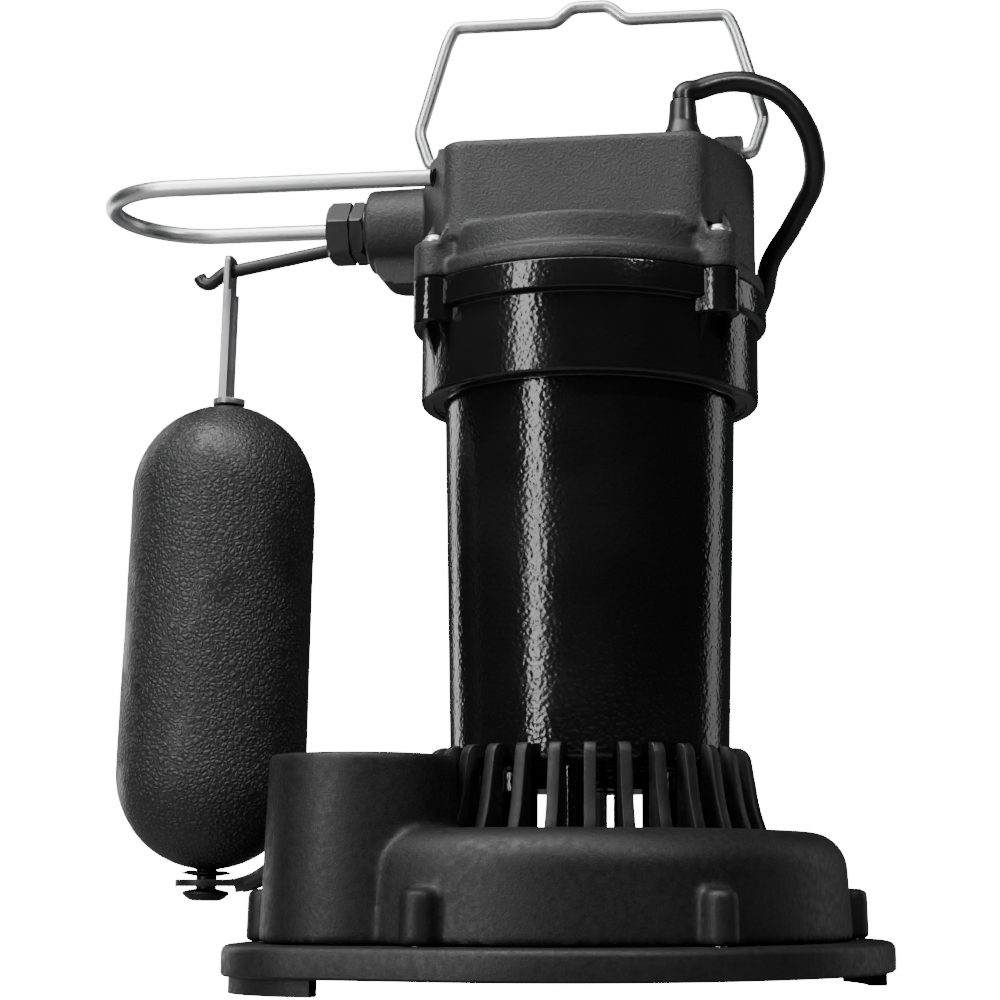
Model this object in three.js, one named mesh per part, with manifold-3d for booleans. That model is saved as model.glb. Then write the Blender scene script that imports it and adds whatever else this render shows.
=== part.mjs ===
// A submersible sump pump with an integral vertical float switch. A cast motor housing stands on a
// moulded volute with a ring of strainer fins, and a cast cap closes it. The switch lever comes out of
// the cap's left side and carries the float. Millimetres, +Z up, +X to the right and -Y to the front.
// The dimensions below are measured from the motor shaft's axis, and heights from the ground.

import * as THREE from "three";
import { mergeVertices } from "three/addons/utils/BufferGeometryUtils.js";
import Module from "manifold-3d";

const wasm = await Module();
wasm.setup();

// ---------------------------------------------------------------- driving dimensions

const GAP = 0.3; // between pieces that touch
const RUNNING_GAP = 0.6; // between pieces that move past each other
const ROUND = 32; // the sides of a large round shape
const SMALL_ROUND = 8; // and of a screw or a small hole
const BITE = 0.6; // how far joined shapes reach into each other

// Base plate
const BASE_BOTTOM = 5.2;
const BASE_TOP = 15.1;
const BASE_WEB = 4;
const RIM_WIDTH = 6;
const RIM_OVERHANG = 14; // how far the base reaches beyond the volute's wall
const FOOT_INSET = 2.5;
const LOBE_OVERHANG = 12.8; // how far the base reaches beyond the discharge boss

// Volute
const VOLUTE_CENTRE = [-5.6, -2.8];
const VOLUTE_RADIUS = 94.3;
const VOLUTE_TOP = 50.9;
const VOLUTE_DRAFT = 1.4;
const VOLUTE_FILLET = 13;
const VOLUTE_WALL = 6;
const VOLUTE_ROOF = 8.5;
const EYE_RADIUS = 25;

// Discharge boss
const DISCHARGE_SHARE = [-61.5 / 94.3, -50.2 / 94.3]; // of the volute's radius, from its centre
const DISCHARGE = VOLUTE_CENTRE.map((middle, i) => middle + VOLUTE_RADIUS * DISCHARGE_SHARE[i]);
const DISCHARGE_RADIUS = 31;
const DISCHARGE_DRAFT = 1;
const DISCHARGE_TOP = 74.5;
const SOCKET_RADIUS = 23.9;
const SOCKET_DEPTH = 26;
const PASSAGE_RADIUS = 21;

// Screws that hold the base plate to the volute
const BASE_SCREW_ANGLES = [-111, -54.5, 13, 74, 134];
const BASE_SCREW_CIRCLE = VOLUTE_RADIUS + 1.7;
const LOBE_SCREW_ANGLE = 163;
const LOBE_SCREW_CIRCLE = 36;
const SCREW_BOSS_RADIUS = 6;
const SCREW_BOSS_TOP = 32.2;
const BASE_SCREW_RADIUS = 2.1;
const BASE_SCREW_HEAD = 4.2;

// Strainer fins
const FIN_COUNT = 30;
const FIN_THICKNESS = 4.1;
const FIN_INNER = 50.6;
const FIN_OUTER = 55.2;
const FIN_FOOT = 60.8;
const FIN_TOP = 78.8;

// Motor housing
const NECK_BOTTOM = 64.7;
const NECK_RADIUS = 30;
const BARREL_BOTTOM = 71.4;
const BARREL_LOW_RADIUS = 47.9;
const BARREL_HIGH_RADIUS = 51;
const BARREL_BORE = 44;
const FLOOR_THICKNESS = 6.5;
const COLLAR_BOTTOM = 198.9;
const COLLAR_RADIUS = 59.4;
const COLLAR_BORE = 53.5;
const LIP_BOTTOM = 226.2;
const LIP_RADIUS = 62.6;
const PARTING = 236.6;
const GROOVE_INNER = 55.5; // the gasket's groove
const GROOVE_OUTER = 58.3;
const GROOVE_DEPTH = 2.4;
const LEG_ANGLES = [30, 150, 270];
const LEG_CIRCLE = 40;
const LEG_RADIUS = 5;
const LEG_SCREW_RADIUS = 1.9;

// Cap
const BAND_TOP = 242.7;
const BAND_RADIUS = 61.9;
const CAP_RADIUS = 58.9;
const CAP_LEDGE = 254.5;
const CAP_TOP = 285.2;
const CAP_FRONT = 45; // the flat panel stands this far in front of the shaft
const CAP_CORNER = 43.7; // half the flat panel's width
const CAP_ROUND = 5;
const CAP_WALL = 3.8;
const CAP_ROOF = 4;

// Ears and their screws
const EAR_CIRCLE = 62;
const EAR_ANGLE = 38.3;
const EAR_RADIUS = 7;
const EAR_BOTTOM = 221.3;
const EAR_TOP = 249.6;
const CAP_SCREW_RADIUS = 2.5;
const CAP_SCREW_HEAD = 4.5;
const CAP_SCREW_HEAD_HEIGHT = 3.2;
const CAP_SCREW_END = 219;

// Switch boss, gland nut and lever
const SWITCH_HEIGHT = 266.4;
const SWITCH_BOSS_RADIUS = 15.2;
const SWITCH_BOSS_END = 79.8; // how far left of the shaft the boss ends
const SWITCH_BORE = 11;
const POCKET_BOTTOM = 245;
const POCKET_END = 76.6;
const POCKET_HALF_WIDTH = 9;
const NUT_START = 81.3;
const NUT_END = 94.7;
const NUT_FLATS = 20;
const NUT_SHANK_END = 69;
const NUT_MOUTH = 9.1;
const LEVER_PIVOT = 62.5; // how far left of the shaft the lever turns
const LEVER_SLOPE = 10.2; // degrees below level at rest
const LEVER_RADIUS = 2.45;
const NUT_THROAT = LEVER_RADIUS + 3.15;
const LEVER_HUB_RADIUS = 4.6;
const LEVER_HUB_WIDTH = 8;
const LEVER_TAIL = 14;
const PIVOT_PIN_RADIUS = 2;

// Float
const HANGER_REACH = 131.8; // how far left of the shaft the float hangs on the lever
const FLOAT_LEAN = 1.1; // degrees from plumb
const FLOAT_RADIUS = 32.5;
const FLOAT_SWELL = 0.6; // the lower half is this much wider
const FLOAT_TOP = 203.3;
const FLOAT_BOTTOM = 38.6;
const FLOAT_ROD_RADIUS = 3.5;
const STRAP_WIDTH = 10.5;
const STRAP_DEPTH = 3;
const STRAP_WALL = 1.2;
const STRAP_OFFSET = 1.2; // from the float's axis to the strap's tab
const COLLAR_CONE_RADIUS = 8.6;
const BUTTON_RADIUS = 8;
const BUTTON_HEIGHT = 4.2;

// Float arm
const ARM_LEVEL = 32.9; // the underside of its flat end
const ARM_WEB = 2.4;
const ARM_WIDTH = 10.5;
const ARM_FLANGE = 1.4;
const ARM_FLANGE_DEPTH = 2.5;
const ARM_TIP = 14.4; // how far the flat end reaches past the float's rod
const ARM_BEND_START = 159.5 - FLOAT_RADIUS; // how far left of the shaft the arm turns up
const ARM_BEND_RADIUS = 24;
const ARM_BEND_ANGLE = 60;
const ARM_PIVOT_RISE = 64;
const ARM_PIVOT_OFFSET = 5.5; // from the web to the pivot
const ARM_PIN_RADIUS = 2.2;

// Float guard and lifting bail
const GUARD_RADIUS = 3;
const GUARD_HEIGHT = 276.7;
const GUARD_HALF_WIDTH = 29.5;
const GUARD_REACH = 146.2; // to the centre of its round end
const GUARD_SOCKET = 52; // its legs end this far left of the shaft
const BAIL_RADIUS = 2.3;
const BAIL_PIVOT_HEIGHT = 290.6;
const BAIL_LUG_INNER = 45;
const BAIL_LUG_OUTER = 55.3;
const BAIL_LUG_RADIUS = 6.6;
const BAIL_BULGE = 62.8;
const BAIL_BULGE_HEIGHT = 303.2;
const BAIL_NECK = 52.9;
const BAIL_NECK_HEIGHT = 336.8;
const BAIL_TOP = 343.4;
const BAIL_BUMP = 349;
const BAIL_BUMP_HALF = 12;

// Motor internals
const SHAFT_RADIUS = 6;
const SHAFT_BOTTOM = 20;
const SHAFT_TOP = 206;
const SEAL_RADIUS = 13;
const LOWER_BEARING_RADIUS = 16;
const LOWER_BEARING_HEIGHT = 9.4;
const UPPER_BEARING_RADIUS = 14;
const UPPER_BEARING_BOTTOM = 194.5;
const UPPER_BEARING_TOP = 203.5;
const STATOR_BORE = 25;
const STATOR_BOTTOM = 105;
const STATOR_TOP = 165;
const WINDING_INNER = 27.5;
const WINDING_OUTER = 41;
const WINDING_HEIGHT = 22;
const ROTOR_RADIUS = 24.4;
const BRACKET_THICKNESS = 5;
const CAPACITOR_RADIUS = 13.5;
const CAPACITOR_LENGTH = 52;
const IMPELLER_RADIUS = 55;
const IMPELLER_DISC = 4;
const IMPELLER_TOP = 37;
const IMPELLER_HUB = 11;
const VANE_COUNT = 6;
const VANE_THICKNESS = 3.2;

// Power cord
const CORD_RADIUS = 3.8;
const GLAND_PLACE = [35.5, -20.3];
const GLAND_RADIUS = 7.2;
const GLAND_TOP = 303.6;
const COIL_CENTRE = [-9, 170];
const COIL_MIDDLE = 42;
const COIL_HALF = 12;
const COIL_LIFT = 1.6;
const TIE_THICKNESS = 1;
const TIE_WIDTH = 9;
const TIE_SLACK = 0.4;
const PLUG_START = -63; // where the plug's strain relief begins
const PLUG_RELIEF = 30;
const PLUG_LENGTH = 38;
const PLUG_RADIUS = 14;
const BLADE_LENGTH = 17;
const BLADE_SPACING = 12.7;
// The points that the free cord follows, from the gland over the cap's side and down to the coil.
const CORD_ROUTE = [
  [35.5, -20.3, 303.9],
  [35.7, -20.1, 306.6],
  [40.3, -17.2, 308.9],
  [47.4, -14.3, 312],
  [55, -11.7, 313.3],
  [61.8, -9.2, 312.4],
  [69.7, -6.2, 309.1],
  [76.9, -1.8, 300.4],
  [80.1, 3, 291.6],
  [79.6, 8.8, 281.4],
  [75.9, 13.8, 275.2],
  [70.7, 19.3, 267.7],
  [63.1, 28.9, 258.8],
  [59.7, 42.2, 250.3],
  [52.2, 57.8, 239],
  [41.9, 71.5, 218.8],
  [31.2, 77.6, 191.6],
  [23.8, 81, 158.5],
  [20.7, 83.9, 122.8],
  [20.7, 89.5, 89.7],
  [24.1, 99.5, 62],
  [29.6, 110.1, 38.5],
  [33.2, 117.5, 22],
  [34.4, 122.5, 9.8],
  [34.2, 126.7, 5.4],
  [34, 130.9, 4.6],
];

// ---------------------------------------------------------------- shape helpers

const rad = THREE.MathUtils.degToRad;
const TURN = 2 * Math.PI;

/** A manifold solid from a closed geometry, with its faces turned outward. */
function solid(geometry) {
  const bare = new THREE.BufferGeometry();
  const flat = geometry.index ? geometry.toNonIndexed() : geometry;
  bare.setAttribute("position", flat.getAttribute("position"));
  const merged = mergeVertices(bare, 1e-4);
  const corners = merged.index.array;
  const kept = [];
  for (let i = 0; i < corners.length; i += 3) {
    const [a, b, c] = corners.slice(i, i + 3);
    if (a !== b && b !== c && c !== a) kept.push(a, b, c);
  }
  const build = (triangles) =>
    new wasm.Manifold(
      new wasm.Mesh({
        numProp: 3,
        vertProperties: merged.attributes.position.array,
        triVerts: new Uint32Array(triangles),
      }),
    );
  const made = build(kept);
  return made.volume() < 0 ? build(kept.reverse()) : made;
}

function geometryOf(made) {
  const mesh = made.getMesh();
  const geometry = new THREE.BufferGeometry();
  geometry.setAttribute("position", new THREE.BufferAttribute(mesh.vertProperties, 3));
  geometry.setIndex(new THREE.BufferAttribute(mesh.triVerts, 1));
  return geometry;
}

/** One geometry from several that reach into each other. */
function join(...geometries) {
  return geometryOf(geometries.map(solid).reduce((whole, next) => whole.add(next)));
}

/** A geometry with the later ones cut out of it. */
function cut(geometry, ...tools) {
  return geometryOf(tools.map(solid).reduce((rest, tool) => rest.subtract(tool), solid(geometry)));
}

/** The part of a geometry that lies inside another. */
function within(geometry, limit) {
  return geometryOf(solid(geometry).intersect(solid(limit)));
}

/** A profile of [radius, height] points turned about the Z axis. */
function turned(profile, segments = ROUND) {
  const points = profile.map(([r, z]) => new THREE.Vector2(r, z));
  return new THREE.LatheGeometry(points, segments).rotateX(Math.PI / 2);
}

/** A closed profile, turned into a ring about the Z axis. */
function ring(profile, segments = ROUND) {
  return turned([...profile, profile[0]], segments);
}

function disc(radius, low, high, segments = ROUND) {
  return turned([[0, low], [radius, low], [radius, high], [0, high]], segments);
}

function tube(inner, outer, low, high, segments = ROUND) {
  return ring([[inner, low], [outer, low], [outer, high], [inner, high]], segments);
}

/** Points of an arc in a profile, from one angle to another in degrees. */
function arc([r, z], radius, from, to, steps = 5) {
  return Array.from({ length: steps + 1 }, (_, i) => {
    const angle = rad(from + ((to - from) * i) / steps);
    return [r + radius * Math.cos(angle), z + radius * Math.sin(angle)];
  });
}

function box([x0, x1], [y0, y1], [z0, z1]) {
  const geometry = new THREE.BoxGeometry(x1 - x0, y1 - y0, z1 - z0);
  return geometry.translate((x0 + x1) / 2, (y0 + y1) / 2, (z0 + z1) / 2);
}

/** A flat outline made solid between two heights. */
function plate(shape, low, high, curveSegments = 12) {
  const settings = { depth: high - low, bevelEnabled: false, curveSegments };
  return new THREE.ExtrudeGeometry(shape, settings).translate(0, 0, low);
}

/** A side outline in X and Z, made solid between two values of Y. */
function side(shape, near, far, curveSegments = 12) {
  return plate(shape, -far, -near, curveSegments).rotateX(Math.PI / 2);
}

function outline(points) {
  return new THREE.Shape(points.map(([x, y]) => new THREE.Vector2(x, y)));
}

function circle([x, y], radius) {
  return new THREE.Shape().absarc(x, y, radius, 0, TURN, false);
}

/** The outline round two circles, the first the larger, with straight tangents between them. */
function aroundTwo([x1, y1], r1, [x2, y2], r2) {
  const heading = Math.atan2(y2 - y1, x2 - x1);
  const spread = Math.acos((r1 - r2) / Math.hypot(x2 - x1, y2 - y1));
  const shape = new THREE.Shape();
  shape.absarc(x1, y1, r1, heading + spread, heading - spread + TURN, false);
  shape.absarc(x2, y2, r2, heading - spread, heading + spread, false);
  return shape;
}

/** A sector of a ring between two angles in degrees. */
function sector([x, y], inner, outer, from, to) {
  const shape = new THREE.Shape();
  shape.absarc(x, y, outer, rad(from), rad(to), false);
  shape.absarc(x, y, inner, rad(to), rad(from), true);
  return shape;
}

/** A round bar along a curve. */
function bar(curve, radius, steps, sides = 10) {
  const section = circle([0, 0], radius);
  const settings = { extrudePath: curve, steps, bevelEnabled: false, curveSegments: sides / 2 };
  return new THREE.ExtrudeGeometry(section, settings);
}

/** A curve through straight runs whose corners are rounded. */
function bentPath(points, bend) {
  const corners = points.map((point) => new THREE.Vector3(...point));
  const path = new THREE.CurvePath();
  let start = corners[0];
  for (let i = 1; i < corners.length - 1; i++) {
    const reach = (other) => {
      const step = other.clone().sub(corners[i]);
      return corners[i].clone().addScaledVector(step.normalize(), bend);
    };
    const [before, after] = [reach(corners[i - 1]), reach(corners[i + 1])];
    path.add(new THREE.LineCurve3(start, before));
    path.add(new THREE.QuadraticBezierCurve3(before, corners[i], after));
    start = after;
  }
  path.add(new THREE.LineCurve3(start, corners.at(-1)));
  return path;
}

function smoothPath(points) {
  const through = points.map((point) => new THREE.Vector3(...point));
  return new THREE.CatmullRomCurve3(through, false, "centripetal");
}

/** A place on a circle about a centre. */
function around([x, y], radius, degrees) {
  return [x + radius * Math.cos(rad(degrees)), y + radius * Math.sin(rad(degrees))];
}

// ---------------------------------------------------------------- base and volute

const lobeRadius = DISCHARGE_RADIUS + LOBE_OVERHANG;
const baseRadius = VOLUTE_RADIUS + RIM_OVERHANG;
const baseOutline = (inset) =>
  aroundTwo(VOLUTE_CENTRE, baseRadius - inset, DISCHARGE, lobeRadius - inset);

const baseScrewPlaces = [
  ...BASE_SCREW_ANGLES.map((angle) => around(VOLUTE_CENTRE, BASE_SCREW_CIRCLE, angle)),
  around(DISCHARGE, LOBE_SCREW_CIRCLE, LOBE_SCREW_ANGLE),
];
const voluteFloor = BASE_TOP + GAP;
const baseRecessTop = BASE_TOP - BASE_WEB;

/** A solid pillar or a hole at each base screw. */
function atBaseScrews(radius, low, high) {
  return baseScrewPlaces.map(([x, y]) => disc(radius, low, high, SMALL_ROUND).translate(x, y, 0));
}

function basePlate() {
  const rim = plate(baseOutline(0), BASE_BOTTOM, BASE_TOP, 10);
  const recess = plate(baseOutline(RIM_WIDTH), BASE_BOTTOM - 1, baseRecessTop, 10);
  const foot = (centre, radius, from, to) => {
    const outer = radius - FOOT_INSET;
    return plate(sector(centre, outer - RIM_WIDTH, outer, from, to), 0, BASE_BOTTOM + BITE, 5);
  };
  const feet = [
    foot(DISCHARGE, lobeRadius, 168, 262),
    foot(VOLUTE_CENTRE, baseRadius, 6, 26),
    foot(VOLUTE_CENTRE, baseRadius, 78, 102),
    foot(VOLUTE_CENTRE, baseRadius, 138, 160),
  ];
  const pillars = atBaseScrews(BASE_SCREW_HEAD + 3, BASE_BOTTOM, BASE_TOP - BITE);
  const heads = atBaseScrews(BASE_SCREW_HEAD + GAP, BASE_BOTTOM - 1, baseRecessTop - 2);
  const holes = atBaseScrews(BASE_SCREW_RADIUS + GAP, BASE_BOTTOM - 1, BASE_TOP + 1);
  return cut(join(cut(rim, recess), ...feet, ...pillars), ...heads, ...holes);
}

function baseScrew() {
  const seat = baseRecessTop - 2 - GAP;
  return turned([
    [0, seat - 3],
    [BASE_SCREW_HEAD, seat - 3],
    [BASE_SCREW_HEAD, seat],
    [BASE_SCREW_RADIUS, seat],
    [BASE_SCREW_RADIUS, SCREW_BOSS_TOP - 7],
    [0, SCREW_BOSS_TOP - 6],
  ], SMALL_ROUND);
}

function fin(index) {
  const thick = FIN_THICKNESS;
  const foot = VOLUTE_TOP - BITE;
  const profile = outline([
    [FIN_INNER, foot],
    [FIN_FOOT, foot],
    [FIN_FOOT - 2.8, VOLUTE_TOP + 8],
    [FIN_OUTER, FIN_TOP - 2.4],
    [FIN_OUTER - 1.8, FIN_TOP],
    [FIN_INNER, FIN_TOP],
  ]);
  return side(profile, -thick / 2, thick / 2).rotateZ((TURN * (index + 0.125)) / FIN_COUNT);
}

const armPath = (() => {
  const turn = rad(ARM_BEND_ANGLE);
  const bendEnd = [
    -ARM_BEND_START + ARM_BEND_RADIUS * Math.sin(turn),
    ARM_LEVEL + ARM_BEND_RADIUS * (1 - Math.cos(turn)),
  ];
  const rise = ARM_PIVOT_RISE + ARM_PIVOT_OFFSET * Math.cos(turn) - bendEnd[1];
  const end = [bendEnd[0] + rise / Math.tan(turn), bendEnd[1] + rise];
  const pivot = [
    end[0] + ARM_PIVOT_OFFSET * Math.sin(turn),
    end[1] - ARM_PIVOT_OFFSET * Math.cos(turn),
  ];
  return { turn, end, pivot };
})();

/** The lug on the volute's roof that the float arm turns on. */
function armLug() {
  const [x, z] = armPath.pivot;
  const radius = ARM_PIVOT_OFFSET - 1.2;
  const foot = VOLUTE_TOP - 5;
  const stem = outline([
    [x - radius, z],
    [x - radius, VOLUTE_TOP + 2],
    [x + 2, foot],
    [x + 16, foot],
    [x + radius, z],
  ]);
  const half = ARM_WIDTH / 2 - ARM_FLANGE - RUNNING_GAP;
  const lug = join(side(stem, -half, half), side(circle([x, z], radius), -half, half));
  return cut(lug, side(circle([x, z], ARM_PIN_RADIUS + GAP), -half - 1, half + 1, 8));
}

function volute() {
  const [cx, cy] = VOLUTE_CENTRE;
  const filletFoot = VOLUTE_TOP - VOLUTE_FILLET;
  const topRadius = VOLUTE_RADIUS - VOLUTE_DRAFT;
  const dome = turned([
    [0, voluteFloor],
    [VOLUTE_RADIUS, voluteFloor],
    ...arc([topRadius - VOLUTE_FILLET, filletFoot], VOLUTE_FILLET, 0, 90, 3),
    [0, VOLUTE_TOP],
  ]).translate(cx, cy, 0);
  const discharge = turned([
    [0, voluteFloor],
    [DISCHARGE_RADIUS + DISCHARGE_DRAFT, voluteFloor],
    [DISCHARGE_RADIUS - DISCHARGE_DRAFT, DISCHARGE_TOP - 1],
    [DISCHARGE_RADIUS - DISCHARGE_DRAFT - 1, DISCHARGE_TOP],
    [0, DISCHARGE_TOP],
  ]).translate(...DISCHARGE, 0);
  const boss = turned([
    [0, voluteFloor],
    [SCREW_BOSS_RADIUS, voluteFloor],
    [SCREW_BOSS_RADIUS - 0.5, SCREW_BOSS_TOP - 1.5],
    [SCREW_BOSS_RADIUS - 2, SCREW_BOSS_TOP],
    [0, SCREW_BOSS_TOP],
  ], SMALL_ROUND);
  const bosses = baseScrewPlaces.map(([x, y]) => boss.clone().translate(x, y, 0));
  const fins = Array.from({ length: FIN_COUNT }, (_, i) => fin(i));
  const outside = join(dome, discharge, ...bosses, ...fins, armLug());

  const roofInside = VOLUTE_TOP - VOLUTE_ROOF;
  const below = voluteFloor - 1;
  const chamber = disc(IMPELLER_RADIUS + 6, below, roofInside, ROUND);
  const channel = new THREE.Shape();
  const widest = VOLUTE_RADIUS - VOLUTE_DRAFT - VOLUTE_WALL;
  const steps = 24;
  for (let i = 0; i <= steps; i++) {
    const share = i / steps;
    const radius = IMPELLER_RADIUS + 7 + (widest - IMPELLER_RADIUS - 14) * share;
    const [x, y] = around([0, 0], radius, 250 + 330 * share);
    if (i === 0) channel.moveTo(x, y);
    else channel.lineTo(x, y);
  }
  const channelSpace = plate(channel, below, roofInside - 3);
  const passage = disc(PASSAGE_RADIUS, voluteFloor + 4, DISCHARGE_TOP + 1, ROUND);
  const socket = disc(SOCKET_RADIUS, DISCHARGE_TOP - SOCKET_DEPTH, DISCHARGE_TOP + 1, ROUND);
  const legHoles = LEG_ANGLES.flatMap((angle) => {
    const place = around([0, 0], LEG_CIRCLE, angle);
    const hole = disc(LEG_SCREW_RADIUS + GAP, below, VOLUTE_TOP + 1, SMALL_ROUND);
    const sink = disc(4 + GAP, below, roofInside + 3, SMALL_ROUND);
    return [hole, sink].map((geometry) => geometry.translate(...place, 0));
  });
  return cut(
    outside,
    chamber,
    channelSpace,
    passage.translate(...DISCHARGE, 0),
    socket.translate(...DISCHARGE, 0),
    disc(EYE_RADIUS, below, VOLUTE_TOP + 1, ROUND),
    ...legHoles,
    ...atBaseScrews(BASE_SCREW_RADIUS + GAP, below, SCREW_BOSS_TOP - 5),
  );
}

// ---------------------------------------------------------------- motor housing and cap

const floorTop = BARREL_BOTTOM + FLOOR_THICKNESS;
const bearingSeat = COLLAR_BOTTOM + 4;
const earPlaces = [EAR_ANGLE, 180 - EAR_ANGLE, 180 + EAR_ANGLE, -EAR_ANGLE].map((angle) => ({
  angle,
  place: around([0, 0], EAR_CIRCLE, angle),
}));

/** The four ears between two heights, each a tab with a round end. */
function ears(low, high) {
  return earPlaces.map(({ angle }) => {
    const tab = aroundTwo([EAR_CIRCLE - 14, 0], EAR_RADIUS + 1.2, [EAR_CIRCLE, 0], EAR_RADIUS);
    return plate(tab, low, high, 5).rotateZ(rad(angle));
  });
}

function atEars(radius, low, high, segments = SMALL_ROUND) {
  return earPlaces.map(({ place }) => disc(radius, low, high, segments).translate(...place, 0));
}

function motorHousing() {
  const hub = LOWER_BEARING_RADIUS + 4;
  const wall = ring([
    [SEAL_RADIUS + GAP, NECK_BOTTOM],
    [NECK_RADIUS, NECK_BOTTOM],
    [NECK_RADIUS, BARREL_BOTTOM],
    [BARREL_LOW_RADIUS - 2, BARREL_BOTTOM],
    [BARREL_LOW_RADIUS, BARREL_BOTTOM + 2.5],
    [BARREL_HIGH_RADIUS, COLLAR_BOTTOM + 1.2],
    [COLLAR_RADIUS - 4.2, COLLAR_BOTTOM + 1.2],
    [COLLAR_RADIUS - 4.2, COLLAR_BOTTOM],
    ...arc([COLLAR_RADIUS - 3.5, COLLAR_BOTTOM + 3.5], 3.5, -90, 0, 2),
    [COLLAR_RADIUS, LIP_BOTTOM],
    [LIP_RADIUS, LIP_BOTTOM + 0.6],
    [LIP_RADIUS, PARTING],
    [COLLAR_BORE, PARTING],
    [COLLAR_BORE, bearingSeat],
    [BARREL_BORE, bearingSeat],
    [BARREL_BORE, floorTop],
    [hub, floorTop],
    [hub, floorTop + LOWER_BEARING_HEIGHT],
    [LOWER_BEARING_RADIUS + GAP, floorTop + LOWER_BEARING_HEIGHT],
    [LOWER_BEARING_RADIUS + GAP, floorTop],
    [SHAFT_RADIUS + RUNNING_GAP, floorTop],
    [SHAFT_RADIUS + RUNNING_GAP, floorTop - 3.5],
    [SEAL_RADIUS + GAP, floorTop - 3.5],
  ]);
  const legs = LEG_ANGLES.map((angle) =>
    disc(LEG_RADIUS, VOLUTE_TOP + GAP, BARREL_BOTTOM + BITE, SMALL_ROUND)
      .translate(...around([0, 0], LEG_CIRCLE, angle), 0));
  const legHoles = LEG_ANGLES.map((angle) =>
    disc(LEG_SCREW_RADIUS + GAP, VOLUTE_TOP - 1, VOLUTE_TOP + 14, SMALL_ROUND)
      .translate(...around([0, 0], LEG_CIRCLE, angle), 0));
  const gusset = outline([
    [COLLAR_RADIUS - 3, EAR_BOTTOM + BITE],
    [COLLAR_RADIUS - 3, EAR_BOTTOM - 9],
    [COLLAR_RADIUS - 0.4, EAR_BOTTOM - 9],
    [EAR_CIRCLE + 0.6, EAR_BOTTOM + BITE],
  ]);
  const gussets = earPlaces.flatMap(({ angle }) => [-1, 1].map((hand) =>
    side(gusset, hand * 5 - 1, hand * 5 + 1).rotateZ(rad(angle))));
  const shell = join(wall, ...legs, ...gussets, ...ears(EAR_BOTTOM, PARTING));
  const bore = disc(COLLAR_BORE, bearingSeat, PARTING + 1, ROUND);
  const groove = tube(GROOVE_INNER, GROOVE_OUTER, PARTING - GROOVE_DEPTH, PARTING + 1);
  return cut(shell, bore, groove, ...legHoles, ...atEars(CAP_SCREW_RADIUS + GAP, EAR_BOTTOM - 12, PARTING + 1));
}

function legScrew() {
  const seat = VOLUTE_TOP - VOLUTE_ROOF + 3 - GAP;
  return turned([
    [0, seat - 2.6],
    [4, seat - 2.6],
    [4, seat],
    [LEG_SCREW_RADIUS, seat],
    [LEG_SCREW_RADIUS, VOLUTE_TOP + 12],
    [0, VOLUTE_TOP + 13],
  ], SMALL_ROUND);
}

const capSeat = PARTING + GAP;

/** The outline of the cap's upper body: a circle with a flat front panel between two corners. */
function capOutline(inset) {
  const radius = CAP_RADIUS - inset;
  const corner = [CAP_CORNER - inset, -(CAP_FRONT - inset)];
  const reach = Math.hypot(...corner);
  const tangent = Math.atan2(corner[1], corner[0]) + Math.acos(Math.min(1, radius / reach));
  const round = Math.max(CAP_ROUND - inset, 1);
  const [tx, ty] = [radius * Math.cos(tangent), radius * Math.sin(tangent)];
  const sideLength = Math.hypot(tx - corner[0], ty - corner[1]);
  const sideX = corner[0] + ((tx - corner[0]) * round) / sideLength;
  const sideY = corner[1] + ((ty - corner[1]) * round) / sideLength;
  const shape = new THREE.Shape();
  shape.moveTo(-corner[0] + round, corner[1]);
  shape.lineTo(corner[0] - round, corner[1]);
  shape.quadraticCurveTo(corner[0], corner[1], sideX, sideY);
  shape.lineTo(tx, ty);
  shape.absarc(0, 0, radius, tangent, Math.PI - tangent, false);
  shape.lineTo(-sideX, sideY);
  shape.quadraticCurveTo(-corner[0], corner[1], -corner[0] + round, corner[1]);
  return shape;
}

/** Shapes made along Z, laid along -X at the switch's height. */
function leftward(geometry) {
  return geometry.rotateY(-Math.PI / 2).translate(0, 0, SWITCH_HEIGHT);
}

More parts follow.
